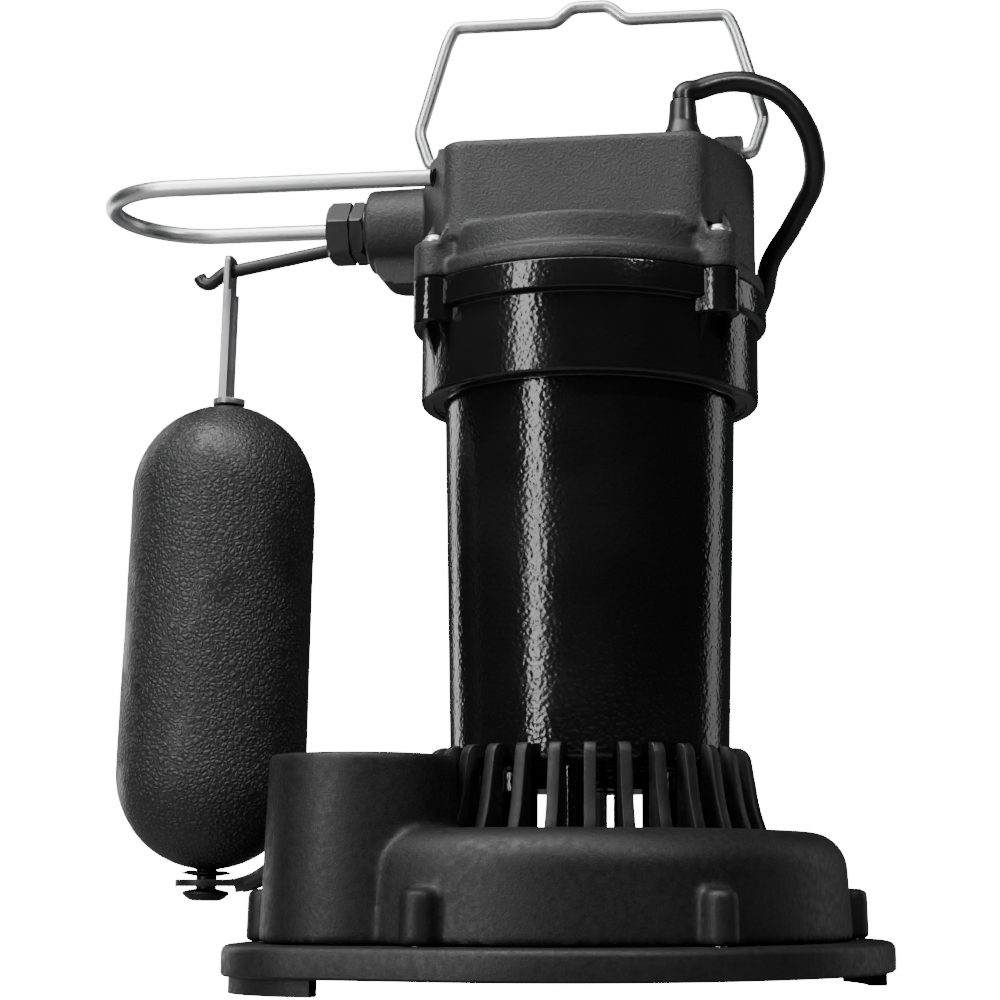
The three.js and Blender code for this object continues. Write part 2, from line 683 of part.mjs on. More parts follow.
function cap() {
  const skirt = turned([
    [0, capSeat],
    [BAND_RADIUS, capSeat],
    [BAND_RADIUS, BAND_TOP - 0.8],
    [BAND_RADIUS - 0.8, BAND_TOP],
    [CAP_RADIUS + 0.3, BAND_TOP],
    [CAP_RADIUS, CAP_LEDGE - 1],
    [CAP_RADIUS - 1, CAP_LEDGE],
    [0, CAP_LEDGE],
  ]);
  const body = plate(capOutline(0), CAP_LEDGE - BITE, CAP_TOP - 1.6, 10);
  const crown = plate(capOutline(1.4), CAP_TOP - 3, CAP_TOP, 10);
  const start = CAP_RADIUS - 10;
  const boss = leftward(turned([
    [0, start],
    [SWITCH_BOSS_RADIUS + 0.8, start],
    [SWITCH_BOSS_RADIUS, SWITCH_BOSS_END - 2.5],
    [SWITCH_BOSS_RADIUS - 0.8, SWITCH_BOSS_END - 0.8],
    [SWITCH_BOSS_RADIUS - 2.8, SWITCH_BOSS_END],
    [0, SWITCH_BOSS_END],
  ], 28));
  const pocket = side(outline([
    [-start, SWITCH_HEIGHT],
    [-start, POCKET_BOTTOM - 2.4],
    [-POCKET_END + 4, POCKET_BOTTOM],
    [-POCKET_END, POCKET_BOTTOM + 4],
    [-POCKET_END, SWITCH_HEIGHT],
  ]), -POCKET_HALF_WIDTH, POCKET_HALF_WIDTH);
  const lugHalf = BAIL_LUG_RADIUS;
  const lugs = [-1, 1].map((hand) => {
    const head = disc(lugHalf, BAIL_LUG_INNER, BAIL_LUG_OUTER, 24)
      .rotateY(Math.PI / 2).translate(0, 0, BAIL_PIVOT_HEIGHT);
    const stem = box([BAIL_LUG_INNER, BAIL_LUG_OUTER], [-lugHalf, lugHalf],
      [CAP_TOP - 3, BAIL_PIVOT_HEIGHT]);
    const lug = join(head, stem);
    return hand < 0 ? lug.rotateZ(Math.PI) : lug;
  });
  const glandSeat = disc(GLAND_RADIUS + 1.8, CAP_TOP - BITE, CAP_TOP + 1.2, 24)
    .translate(...GLAND_PLACE, 0);
  const outside = join(skirt, body, crown, boss, pocket, glandSeat, ...lugs,
    ...ears(capSeat, EAR_TOP));

  const lowSpace = disc(CAP_RADIUS - CAP_WALL, capSeat - 1, CAP_LEDGE, ROUND);
  const highSpace = plate(capOutline(CAP_WALL), CAP_LEDGE - BITE, CAP_TOP - CAP_ROOF, 10);
  const bore = leftward(disc(SWITCH_BORE, start - 10, SWITCH_BOSS_END + 1, 20));
  const bailBore = disc(BAIL_RADIUS + 0.4, -BAIL_LUG_OUTER - 1, BAIL_LUG_OUTER + 1, 16)
    .rotateY(Math.PI / 2).translate(0, 0, BAIL_PIVOT_HEIGHT);
  const guardHoles = [-1, 1].map((hand) =>
    disc(GUARD_RADIUS + GAP, GUARD_SOCKET - 8, CAP_RADIUS + 8, 16)
      .rotateY(-Math.PI / 2).translate(0, hand * GUARD_HALF_WIDTH, GUARD_HEIGHT));
  const glandHole = disc(CORD_RADIUS + 1.6, CAP_TOP - CAP_ROOF - 1, CAP_TOP + 2, 16)
    .translate(...GLAND_PLACE, 0);
  return cut(outside, lowSpace, highSpace, bore, bailBore, ...guardHoles, glandHole,
    ...atEars(CAP_SCREW_RADIUS + GAP, capSeat - 1, EAR_TOP + 1),
    ...atEars(CAP_SCREW_HEAD + GAP, EAR_TOP, EAR_TOP + CAP_SCREW_HEAD_HEIGHT + 1, 16));
}

function gasket() {
  return tube(GROOVE_INNER + GAP, GROOVE_OUTER - GAP, PARTING - GROOVE_DEPTH + GAP, PARTING);
}

function capScrew() {
  const seat = EAR_TOP + GAP;
  const top = seat + CAP_SCREW_HEAD_HEIGHT;
  return turned([
    [0, CAP_SCREW_END],
    [CAP_SCREW_RADIUS, CAP_SCREW_END + 1],
    [CAP_SCREW_RADIUS, seat],
    [CAP_SCREW_HEAD, seat],
    [CAP_SCREW_HEAD, seat + 1.2],
    [CAP_SCREW_HEAD - 1.3, top],
    [0, top],
  ], SMALL_ROUND);
}

// ---------------------------------------------------------------- motor internals

function shaft() {
  return turned([
    [0, SHAFT_BOTTOM],
    [SHAFT_RADIUS - 1, SHAFT_BOTTOM],
    [SHAFT_RADIUS, SHAFT_BOTTOM + 1],
    [SHAFT_RADIUS, SHAFT_TOP - 1],
    [SHAFT_RADIUS - 1, SHAFT_TOP],
    [0, SHAFT_TOP],
  ], 24);
}

function statorCore() {
  return tube(STATOR_BORE, BARREL_BORE - GAP, STATOR_BOTTOM, STATOR_TOP);
}

function winding(low, high) {
  const round = 4;
  return ring([
    [WINDING_INNER, low],
    [WINDING_OUTER, low],
    [WINDING_OUTER, high - round],
    [WINDING_OUTER - round, high],
    [WINDING_INNER + round, high],
    [WINDING_INNER, high - round],
  ], ROUND);
}

function bearingBracket() {
  const hub = UPPER_BEARING_RADIUS + 4;
  const low = bearingSeat + GAP;
  const high = low + BRACKET_THICKNESS;
  const body = ring([
    [SHAFT_RADIUS + RUNNING_GAP, high],
    [SHAFT_RADIUS + RUNNING_GAP, UPPER_BEARING_TOP + GAP],
    [UPPER_BEARING_RADIUS + GAP, UPPER_BEARING_TOP + GAP],
    [UPPER_BEARING_RADIUS + GAP, UPPER_BEARING_BOTTOM],
    [hub, UPPER_BEARING_BOTTOM],
    [hub, low],
    [COLLAR_BORE - GAP, low],
    [COLLAR_BORE - GAP, high],
  ]);
  const windows = [45, 135, 225, 315].map((angle) =>
    plate(sector([0, 0], hub + 4, BARREL_BORE - 6, angle - 26, angle + 26), low - 1, high + 1, 3));
  return cut(body, ...windows);
}

function impeller() {
  const bore = SHAFT_RADIUS + GAP;
  const low = SHAFT_BOTTOM + 2;
  const hub = ring([
    [bore, low],
    [IMPELLER_RADIUS, low],
    [IMPELLER_RADIUS, low + IMPELLER_DISC],
    [IMPELLER_HUB + 3, low + IMPELLER_DISC],
    [IMPELLER_HUB, IMPELLER_TOP + 6],
    [bore, IMPELLER_TOP + 6],
  ], ROUND);
  const steps = 4;
  const edge = (offset) => Array.from({ length: steps + 1 }, (_, i) => {
    const share = i / steps;
    const radius = IMPELLER_HUB + (IMPELLER_RADIUS - 1 - IMPELLER_HUB) * share;
    const [x, y] = around([0, 0], radius, 62 * share);
    return [x - offset * Math.sin(rad(40 + 62 * share)), y + offset * Math.cos(rad(40 + 62 * share))];
  });
  const half = VANE_THICKNESS / 2;
  const vane = outline([...edge(-half), ...edge(half).reverse()]);
  const vanes = Array.from({ length: VANE_COUNT }, (_, i) =>
    plate(vane, low + IMPELLER_DISC - BITE, IMPELLER_TOP).rotateZ((TURN * i) / VANE_COUNT));
  return cut(join(hub, ...vanes), disc(bore, low - 1, IMPELLER_TOP + 7, ROUND));
}

function impellerNut() {
  const [low, high] = [SHAFT_BOTTOM - 3, SHAFT_BOTTOM + 2 - GAP];
  return cut(disc(10, low, high, 6), disc(SHAFT_RADIUS + GAP, low - 1, high + 1, 16));
}

// ---------------------------------------------------------------- switch and lever

const pivot = [-LEVER_PIVOT, SWITCH_HEIGHT];
const leverSlope = rad(LEVER_SLOPE);
const leverHeight = (left) => SWITCH_HEIGHT - (left - LEVER_PIVOT) * Math.tan(leverSlope);
const hangerHeight = leverHeight(HANGER_REACH);
const tailX = -(LEVER_PIVOT - LEVER_TAIL * Math.cos(leverSlope));
const tailZ = SWITCH_HEIGHT + LEVER_TAIL * Math.sin(leverSlope);
const plungerTop = tailZ - LEVER_RADIUS - RUNNING_GAP;

function lever() {
  const path = new THREE.CurvePath();
  const start = new THREE.Vector3(tailX, 0, tailZ);
  const bend = new THREE.Vector3(-HANGER_REACH - 2.4, 0, leverHeight(HANGER_REACH + 2.4));
  path.add(new THREE.LineCurve3(start, bend));
  const x = -HANGER_REACH;
  const z = hangerHeight;
  const hook = [[x - 2.4, bend.z], [x - 5, z - 2.2], [x - 8, z - 4.5], [x - 10.8, z - 4],
    [x - 12.2, z - 1.6]];
  path.add(smoothPath(hook.map(([px, pz]) => [px, 0, pz])));
  const rod = bar(path, LEVER_RADIUS, 26, 8);
  const half = LEVER_HUB_WIDTH / 2;
  const hub = side(circle(pivot, LEVER_HUB_RADIUS), -half, half, 10);
  const hole = side(circle(pivot, PIVOT_PIN_RADIUS + GAP), -half - 1, half + 1, 8);
  return cut(join(rod, hub), hole);
}

const switchArmInner = LEVER_HUB_WIDTH / 2 + RUNNING_GAP;
const switchArmOuter = switchArmInner + 2.6;

function pivotPin() {
  return side(circle(pivot, PIVOT_PIN_RADIUS), -switchArmOuter - 0.4, switchArmOuter + 0.4, 8);
}

/** The snap switch in the cap: a case with two arms that hold the lever's pin. */
function switchBody() {
  const floor = CAP_LEDGE - 6;
  const top = SWITCH_HEIGHT - 6;
  const inner = CAP_RADIUS - CAP_WALL - 2;
  const block = box([-inner, -26], [-13, 13], [floor, top]);
  const arms = [-1, 1].map((hand) => {
    const arm = join(
      side(circle(pivot, 4.6), switchArmInner, switchArmOuter, 10),
      side(outline([
        [pivot[0], SWITCH_HEIGHT - 4.6],
        [-40, top - BITE],
        [-34, top - BITE],
        [-38, SWITCH_HEIGHT + 4.6],
        [pivot[0], SWITCH_HEIGHT + 4.6],
      ]), switchArmInner, switchArmOuter),
    );
    return hand < 0 ? arm.translate(0, -switchArmInner - switchArmOuter, 0) : arm;
  });
  const hole = side(circle(pivot, PIVOT_PIN_RADIUS + GAP), -switchArmOuter - 1, switchArmOuter + 1, 8);
  const guide = disc(2 + GAP, floor + 2, top + 1, 16).translate(tailX, 0, 0);
  return cut(join(block, ...arms), hole, guide);
}

function plunger() {
  const low = CAP_LEDGE + 1;
  return turned([[0, low], [2, low], [2, plungerTop - 0.8], [1.2, plungerTop], [0, plungerTop]], 16)
    .translate(tailX, 0, 0);
}

function glandNut() {
  const corner = NUT_FLATS / 2 / Math.cos(rad(30));
  const hex = outline(Array.from({ length: 6 }, (_, i) => around([0, 0], corner, 60 * i + 37.7)));
  const head = plate(hex, NUT_START, NUT_END);
  const shank = disc(NUT_FLATS / 2 - 0.2, NUT_SHANK_END, NUT_START + BITE, 24);
  const chamfer = turned([
    [0, NUT_SHANK_END - 1],
    [corner, NUT_SHANK_END - 1],
    [corner, NUT_END - 1],
    [corner - 1.2, NUT_END],
    [0, NUT_END],
  ], 36);
  const bore = turned([
    [0, NUT_SHANK_END - 1],
    [NUT_THROAT, NUT_SHANK_END - 1],
    [NUT_THROAT, NUT_SHANK_END + 2],
    [NUT_MOUTH, NUT_END + 0.1],
    [0, NUT_END + 0.1],
  ], 24);
  return leftward(cut(within(join(head, shank), chamfer), bore));
}

/** The rubber sleeve that seals the lever inside the nut. */
function leverBoot() {
  const length = 7;
  const sleeve = ring([
    [LEVER_RADIUS + GAP, -length / 2],
    [LEVER_RADIUS + 0.9, -length / 2],
    [LEVER_RADIUS + 1.5, length / 2],
    [LEVER_RADIUS + GAP, length / 2],
  ], SMALL_ROUND);
  const left = 71;
  return sleeve.rotateY(-Math.PI / 2 - leverSlope).translate(-left, 0, leverHeight(left));
}

// ---------------------------------------------------------------- float, in its own leaning frame

// The float's frame stands on the lever's height at the hanger, and its Z axis is the float's axis.
const floatAxis = -HANGER_REACH + STRAP_OFFSET;
const lean = rad(FLOAT_LEAN);
const local = (height) => (height - hangerHeight) / Math.cos(lean);
const floatTop = local(FLOAT_TOP);
const floatBottom = local(FLOAT_BOTTOM);

function floatShell() {
  const low = FLOAT_RADIUS + FLOAT_SWELL;
  const profile = [
    [FLOAT_ROD_RADIUS + GAP, floatBottom],
    ...arc([0, floatBottom + low], low, -80, 0, 6),
    ...arc([0, floatTop - FLOAT_RADIUS], FLOAT_RADIUS, 0, 80, 6),
    [FLOAT_ROD_RADIUS + GAP, floatTop],
  ];
  return ring(profile, 28);
}

function hanger() {
  const half = STRAP_WIDTH / 2;
  const top = 5.4;
  const bottom = floatTop + GAP + 0.4;
  const back = -STRAP_OFFSET - STRAP_DEPTH / 2;
  const tab = box([back, back + 2], [-half, half], [bottom, top]);
  const flanges = [-1, 1].map((hand) => box([back, back + STRAP_DEPTH],
    hand < 0 ? [-half, -half + STRAP_WALL] : [half - STRAP_WALL, half], [bottom, -8]));
  const seat = disc(FLOAT_ROD_RADIUS + 2.2, bottom, bottom + 2, 20);
  const hole = disc(LEVER_RADIUS + 1, -10, 10, 16).rotateY(Math.PI / 2)
    .translate(-STRAP_OFFSET, 0, 0);
  return cut(join(tab, ...flanges, seat), hole);
}

const armMiddle = ARM_LEVEL + ARM_WEB / 2;

/** The rod through the float, from the hanger's seat to the button under the arm. */
function floatRod() {
  const top = floatTop + GAP;
  const low = local(ARM_LEVEL) - 3;
  return turned([
    [0, low],
    [FLOAT_ROD_RADIUS - 0.6, low],
    [FLOAT_ROD_RADIUS, low + 0.6],
    [FLOAT_ROD_RADIUS, top],
    [0, top],
  ], 20);
}

function floatCollar() {
  const bottom = local(ARM_LEVEL + ARM_WEB) + 1.1;
  const top = floatBottom - GAP;
  const hole = FLOAT_ROD_RADIUS + GAP;
  return ring([
    [hole, bottom],
    [COLLAR_CONE_RADIUS, bottom + 0.8],
    [COLLAR_CONE_RADIUS, bottom + 1.1],
    [COLLAR_CONE_RADIUS - 2.2, top],
    [hole, top],
  ], 20);
}

function floatButton() {
  const top = local(ARM_LEVEL) - 0.8;
  const low = top - BUTTON_HEIGHT;
  const hole = FLOAT_ROD_RADIUS + GAP;
  return turned([
    [0, low],
    [BUTTON_RADIUS - 3, low],
    [BUTTON_RADIUS - 0.9, low + 1],
    [BUTTON_RADIUS, low + 2.4],
    [BUTTON_RADIUS, top - 1],
    [hole, top],
    [hole, local(ARM_LEVEL) - 3 - GAP],
    [0, local(ARM_LEVEL) - 3 - GAP],
  ], 20);
}

// ---------------------------------------------------------------- float arm

/** A strip beside the arm's path, between two offsets to its outer side. */
function armStrip(inner, outer, startX) {
  const path = [[-ARM_BEND_START, ARM_LEVEL, 0]];
  if (startX < -ARM_BEND_START) path.unshift([startX, ARM_LEVEL, 0]);
  const steps = 6;
  for (let i = 1; i <= steps; i++) {
    const turn = (armPath.turn * i) / steps;
    path.push([
      -ARM_BEND_START + ARM_BEND_RADIUS * Math.sin(turn),
      ARM_LEVEL + ARM_BEND_RADIUS * (1 - Math.cos(turn)),
      turn,
    ]);
  }
  path.push([...armPath.end, armPath.turn]);
  const kept = path.filter(([x]) => x >= startX);
  const edge = (offset) => kept.map(([x, z, turn]) =>
    [x - offset * Math.sin(turn), z + offset * Math.cos(turn)]);
  return outline([...edge(inner), ...edge(outer).reverse()]);
}

function floatArm() {
  const rodX = floatAxis - (hangerHeight - armMiddle) * Math.tan(lean);
  const half = ARM_WIDTH / 2;
  const flangeStart = rodX + BUTTON_RADIUS + 3;
  const web = side(armStrip(0, ARM_WEB, rodX + 4), -half, half);
  const [pivotX, pivotZ] = armPath.pivot;
  const flanges = [-1, 1].map((hand) => {
    const near = hand < 0 ? -half : half - ARM_FLANGE;
    const strip = side(armStrip(-ARM_FLANGE_DEPTH, ARM_WEB, flangeStart), near, near + ARM_FLANGE);
    const eye = side(circle([pivotX, pivotZ], ARM_PIVOT_OFFSET + 0.4), near, near + ARM_FLANGE, 10);
    return join(strip, eye);
  });
  const tip = aroundTwo([rodX, 0], ARM_TIP * 0.74, [rodX + 14, 0], half);
  const tongue = within(
    plate(tip, ARM_LEVEL, ARM_LEVEL + ARM_WEB, 10),
    box([rodX - ARM_TIP, rodX + 30], [-ARM_TIP, ARM_TIP], [ARM_LEVEL - 1, ARM_LEVEL + ARM_WEB + 1]),
  );
  const eyeHole = disc(FLOAT_ROD_RADIUS + 1.8, ARM_LEVEL - 1, ARM_LEVEL + ARM_WEB + 1, 20)
    .translate(rodX, 0, 0);
  const pinHole = side(circle([pivotX, pivotZ], ARM_PIN_RADIUS + GAP), -half - 1, half + 1, 8);
  return cut(join(web, tongue, ...flanges), eyeHole, pinHole);
}

function armPin() {
  const half = ARM_WIDTH / 2 + 1.2;
  return side(circle(armPath.pivot, ARM_PIN_RADIUS), -half, half, 8);
}

// ---------------------------------------------------------------- guard and bail

function guard() {
  const y = GUARD_HALF_WIDTH;
  const handle = 0.5523 * y;
  const point = (x, py) => new THREE.Vector3(x, py, GUARD_HEIGHT);
  const path = new THREE.CurvePath();
  path.add(new THREE.LineCurve3(point(-GUARD_SOCKET, -y), point(-GUARD_REACH, -y)));
  path.add(new THREE.CubicBezierCurve3(point(-GUARD_REACH, -y), point(-GUARD_REACH - handle, -y),
    point(-GUARD_REACH - y, -handle), point(-GUARD_REACH - y, 0)));
  path.add(new THREE.CubicBezierCurve3(point(-GUARD_REACH - y, 0), point(-GUARD_REACH - y, handle),
    point(-GUARD_REACH - handle, y), point(-GUARD_REACH, y)));
  path.add(new THREE.LineCurve3(point(-GUARD_REACH, y), point(-GUARD_SOCKET, y)));
  return bar(path, GUARD_RADIUS, 30, 8);
}

function bail() {
  const foot = BAIL_LUG_OUTER + 1 + BAIL_RADIUS;
  const half = [
    [BAIL_LUG_INNER + 1, BAIL_PIVOT_HEIGHT],
    [foot, BAIL_PIVOT_HEIGHT],
    [BAIL_BULGE, BAIL_BULGE_HEIGHT],
    [BAIL_NECK, BAIL_NECK_HEIGHT],
    [BAIL_NECK - 3, BAIL_TOP],
    [BAIL_BUMP_HALF + 1, BAIL_TOP],
    [BAIL_BUMP_HALF - 5.4, BAIL_BUMP],
  ];
  const points = [
    ...half.map(([x, z]) => [x, 0, z]),
    ...half.reverse().map(([x, z]) => [-x, 0, z]),
  ];
  return bar(bentPath(points, 2.6), BAIL_RADIUS, 56, 6);
}

// ---------------------------------------------------------------- power cord

function cordGland() {
  const low = CAP_TOP + 1.2 + GAP;
  const hole = CORD_RADIUS + GAP;
  return ring([
    [hole, low],
    [GLAND_RADIUS, low],
    [GLAND_RADIUS, low + 3.4],
    [GLAND_RADIUS - 1, low + 6.4],
    [CORD_RADIUS + 1.5, low + 8.6],
    [CORD_RADIUS + 0.8, GLAND_TOP],
    [hole, GLAND_TOP],
  ], 20).translate(...GLAND_PLACE, 0);
}

const coilTop = COIL_LIFT + 2 * COIL_HALF - 1.4;
const coilOuter = COIL_MIDDLE + COIL_HALF;
const coilInner = COIL_MIDDLE - COIL_HALF;
const tailHeight = (COIL_LIFT + coilTop) / 2;
const tailY = COIL_CENTRE[1] + COIL_MIDDLE;

function coil() {
  const round = 4;
  return ring([
    [coilInner + round, COIL_LIFT],
    [coilOuter - round, COIL_LIFT],
    [coilOuter, COIL_LIFT + round],
    [coilOuter, coilTop - round],
    [coilOuter - round, coilTop],
    [coilInner + round, coilTop],
    [coilInner, coilTop - round],
    [coilInner, COIL_LIFT + round],
  ], 28).translate(...COIL_CENTRE, 0);
}

/** The band that holds the coil's turns together, round its bundle on the far right. */
function coilTie() {
  const grow = (extra) => outline([
    [coilInner - extra - TIE_SLACK, COIL_LIFT - extra],
    [coilOuter + extra + TIE_SLACK, COIL_LIFT - extra],
    [coilOuter + extra + TIE_SLACK, coilTop + extra],
    [coilInner - extra - TIE_SLACK, coilTop + extra],
  ]);
  const half = TIE_WIDTH / 2;
  const band = cut(
    side(grow(GAP + TIE_THICKNESS), -half, half),
    side(grow(GAP), -half - 1, half + 1),
  );
  return band.rotateZ(rad(35)).translate(...COIL_CENTRE, 0);
}

/** The straight end of the cord, from the coil to the plug's strain relief. */
function cordTail() {
  const reach = Math.sqrt((coilOuter + 1) ** 2 - (COIL_MIDDLE - CORD_RADIUS) ** 2);
  const start = COIL_CENTRE[0] - reach - GAP;
  return disc(CORD_RADIUS, -start, -PLUG_START - GAP, 12)
    .rotateY(-Math.PI / 2).translate(0, tailY, tailHeight);
}

/** Shapes made along Z from the strain relief's start, laid along -X behind the cord's end. */
function plugward(geometry) {
  return geometry.rotateY(-Math.PI / 2).translate(PLUG_START, tailY, tailHeight);
}

function plugBody() {
  const relief = turned([
    [0, 0],
    [CORD_RADIUS + 0.6, 0],
    [CORD_RADIUS + 2.4, PLUG_RELIEF],
    [CORD_RADIUS + 2.4, PLUG_RELIEF + 3],
    [0, PLUG_RELIEF + 3],
  ], 20);
  const end = PLUG_RELIEF + PLUG_LENGTH;
  const body = turned([
    [0, PLUG_RELIEF],
    [PLUG_RADIUS - 4, PLUG_RELIEF],
    [PLUG_RADIUS - 2, PLUG_RELIEF + 5],
    [PLUG_RADIUS - 1.8, end - 10],
    [PLUG_RADIUS, end - 7],
    [PLUG_RADIUS, end],
    [0, end],
  ], 28);
  const flat = box([-tailHeight + 0.3, PLUG_RADIUS], [-PLUG_RADIUS - 1, PLUG_RADIUS + 1],
    [-1, end + 1]);
  return plugward(within(join(relief, body), flat));
}

function blade(offset) {
  const start = PLUG_RELIEF + PLUG_LENGTH + GAP;
  return plugward(box([-1, 5.4], [offset - 0.75, offset + 0.75], [start, start + BLADE_LENGTH]));
}

function groundPin() {
  const start = PLUG_RELIEF + PLUG_LENGTH + GAP;
  return plugward(turned([
    [0, start],
    [2.4, start],
    [2.4, start + BLADE_LENGTH + 1],
    [1.2, start + BLADE_LENGTH + 3],
    [0, start + BLADE_LENGTH + 3],
  ], 16).translate(-8, 0, 0));
}

// ---------------------------------------------------------------- the assembly

const finish = (color, roughness, metalness) => () =>
  new THREE.MeshStandardMaterial({ color, roughness, metalness });
const coatedIron = finish(0x0b0b0c, 0.3, 0.4);
const castIron = finish(0x1b1b1d, 0.5, 0.4);
const blackPlastic = finish(0x161617, 0.6, 0);
const floatSkin = finish(0x202022, 0.65, 0);
const blackSteel = finish(0x18181a, 0.4, 0.6);
const rubber = finish(0x101011, 0.55, 0);
const stainless = finish(0xb9bbbd, 0.25, 1);
const steel = finish(0x9a9a9a, 0.35, 0.9);
const copper = finish(0xa65a32, 0.4, 0.8);
const lightPlastic = finish(0xcfcabd, 0.5, 0);
const brass = finish(0xc9a552, 0.3, 1);

const pump = new THREE.Group();

function add(name, geometry, look, place = [0, 0, 0], parent = pump) {
  const mesh = new THREE.Mesh(geometryOf(solid(geometry)), look());
  mesh.name = name;
  mesh.position.set(...place);
  parent.add(mesh);
}

add("base_plate", basePlate(), blackPlastic);
add("volute", volute(), blackPlastic);
baseScrewPlaces.forEach((place, i) => add(`base_screw_${i + 1}`, baseScrew(), steel, [...place, 0]));
add("motor_housing", motorHousing(), coatedIron);
LEG_ANGLES.forEach((angle, i) => {
  add(`leg_screw_${i + 1}`, legScrew(), steel, [...around([0, 0], LEG_CIRCLE, angle), 0]);
});
add("cap", cap(), castIron);
add("cap_gasket", gasket(), rubber);
earPlaces.forEach(({ place }, i) => add(`cap_screw_${i + 1}`, capScrew(), stainless, [...place, 0]));

add("shaft", shaft(), steel);
add("rotor_core", tube(SHAFT_RADIUS + GAP, ROTOR_RADIUS, STATOR_BOTTOM - 1, STATOR_TOP + 1), steel);
add("stator_core", statorCore(), steel);
add("winding_upper", winding(STATOR_TOP + GAP, STATOR_TOP + WINDING_HEIGHT), copper);
add("winding_lower", winding(STATOR_BOTTOM - 13, STATOR_BOTTOM - GAP), copper);
add("shaft_seal", tube(SHAFT_RADIUS + RUNNING_GAP, SEAL_RADIUS, NECK_BOTTOM + 1,
  floorTop - 3.5 - GAP, 20), rubber);
add("lower_bearing", tube(SHAFT_RADIUS + GAP, LOWER_BEARING_RADIUS, floorTop + GAP,
  floorTop + LOWER_BEARING_HEIGHT - GAP, 20), steel);
add("upper_bearing", tube(SHAFT_RADIUS + GAP, UPPER_BEARING_RADIUS, UPPER_BEARING_BOTTOM,
  UPPER_BEARING_TOP, 20), steel);
add("bearing_bracket", bearingBracket(), castIron);
add("impeller", impeller(), lightPlastic);
add("impeller_nut", impellerNut(), brass);
add("capacitor", disc(CAPACITOR_RADIUS, -CAPACITOR_LENGTH / 2, CAPACITOR_LENGTH / 2, ROUND)
  .rotateY(Math.PI / 2), lightPlastic, [4, 26, CAP_TOP - CAP_ROOF - CAPACITOR_RADIUS - 2]);

add("switch_body", switchBody(), blackPlastic);
add("switch_plunger", plunger(), lightPlastic);
add("lever_pin", pivotPin(), stainless);
add("gland_nut", glandNut(), blackPlastic);
add("lever", lever(), blackSteel);
add("lever_boot", leverBoot(), rubber);

const float = new THREE.Group();
float.position.set(floatAxis, 0, hangerHeight);
float.rotation.y = lean;
pump.add(float);
const onFloat = (name, geometry, look) => add(name, geometry, look, [0, 0, 0], float);
onFloat("float_hanger", hanger(), blackSteel);
onFloat("float_shell", floatShell(), floatSkin);
onFloat("float_rod", floatRod(), blackSteel);
onFloat("float_collar", floatCollar(), blackPlastic);
onFloat("float_button", floatButton(), blackPlastic);

add("float_arm", floatArm(), blackPlastic);
add("arm_pin", armPin(), stainless);
add("float_guard", guard(), stainless);
add("bail_handle", bail(), stainless);

add("cord_gland", cordGland(), rubber);
add("cord_run", bar(smoothPath(CORD_ROUTE), CORD_RADIUS, 42, 8), rubber);
add("cord_coil", coil(), rubber);
add("coil_tie", coilTie(), rubber);
add("cord_tail", cordTail(), rubber);
add("plug_body", plugBody(), rubber);
add("plug_blade_1", blade(-BLADE_SPACING / 2), brass);
add("plug_blade_2", blade(BLADE_SPACING / 2), brass);
add("plug_ground_pin", groundPin(), brass);

// The part's origin is the middle of the box that the pump itself fills, on the ground.
const ON_THE_CORD = /^(cord_run|cord_coil|coil_tie|cord_tail|plug_.*)$/;
const bounds = new THREE.Box3();
pump.updateMatrixWorld(true);
pump.traverse((object) => {
  if (object.isMesh && !ON_THE_CORD.test(object.name)) bounds.expandByObject(object, true);
});
const middle = bounds.getCenter(new THREE.Vector3());
pump.position.set(-middle.x, -middle.y, -bounds.min.z);

const group = new THREE.Group();
group.add(pump);

export default group;
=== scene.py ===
# %% [markdown]
# # A submersible sump pump with a vertical float
#
# This lesson builds the looks of a small sump pump round a model that already has the right sizes and
# joints. Every piece below takes its place from that model, rides on one of its moving bodies and gets a
# procedural finish. Lengths in the code are millimetres from the motor shaft's axis, with the ground at
# zero, because that is how such a pump is drawn. They become metres when a mesh is put in its place.

# %% Load the model that everything is placed in
import math
import bmesh
import bpy
import numpy as np
from mathutils import Matrix, Vector, geometry, noise


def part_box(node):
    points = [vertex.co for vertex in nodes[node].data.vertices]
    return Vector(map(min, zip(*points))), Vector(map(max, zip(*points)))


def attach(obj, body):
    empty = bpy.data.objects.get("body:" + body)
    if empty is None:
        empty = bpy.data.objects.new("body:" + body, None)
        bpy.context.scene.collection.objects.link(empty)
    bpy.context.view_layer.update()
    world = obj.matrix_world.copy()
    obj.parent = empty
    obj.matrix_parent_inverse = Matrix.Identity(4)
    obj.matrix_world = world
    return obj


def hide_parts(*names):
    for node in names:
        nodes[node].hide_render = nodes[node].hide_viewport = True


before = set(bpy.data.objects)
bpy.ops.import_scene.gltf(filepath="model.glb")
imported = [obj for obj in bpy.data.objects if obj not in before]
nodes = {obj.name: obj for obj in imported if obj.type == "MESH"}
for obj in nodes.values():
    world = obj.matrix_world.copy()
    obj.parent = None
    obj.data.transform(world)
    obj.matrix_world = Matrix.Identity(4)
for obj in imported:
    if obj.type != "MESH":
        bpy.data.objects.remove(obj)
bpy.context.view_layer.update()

# %% [markdown]
# ## Where things are
#
# The shaft stands in the middle of the pump, so its box gives the axis. `span` reads a node's box in
# millimetres from that axis. The coil and the plug take their places from such boxes.

# %% Millimetres from the shaft
MM = 0.001
shaft_low, shaft_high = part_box("shaft")
AXIS = Vector(((shaft_low.x + shaft_high.x) / 2, (shaft_low.y + shaft_high.y) / 2, 0))
TO_ROW = Matrix.Translation(AXIS) @ Matrix.Scale(MM, 4)


def at(x, y, z):
    """A point in the row frame, from millimetres about the shaft."""
    return TO_ROW @ Vector((x, y, z))


def span(node):
    """The lowest and highest corner of a node in millimetres about the shaft."""
    low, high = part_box(node)
    return (low - AXIS) / MM, (high - AXIS) / MM


print("axis", tuple(round(v, 4) for v in AXIS))

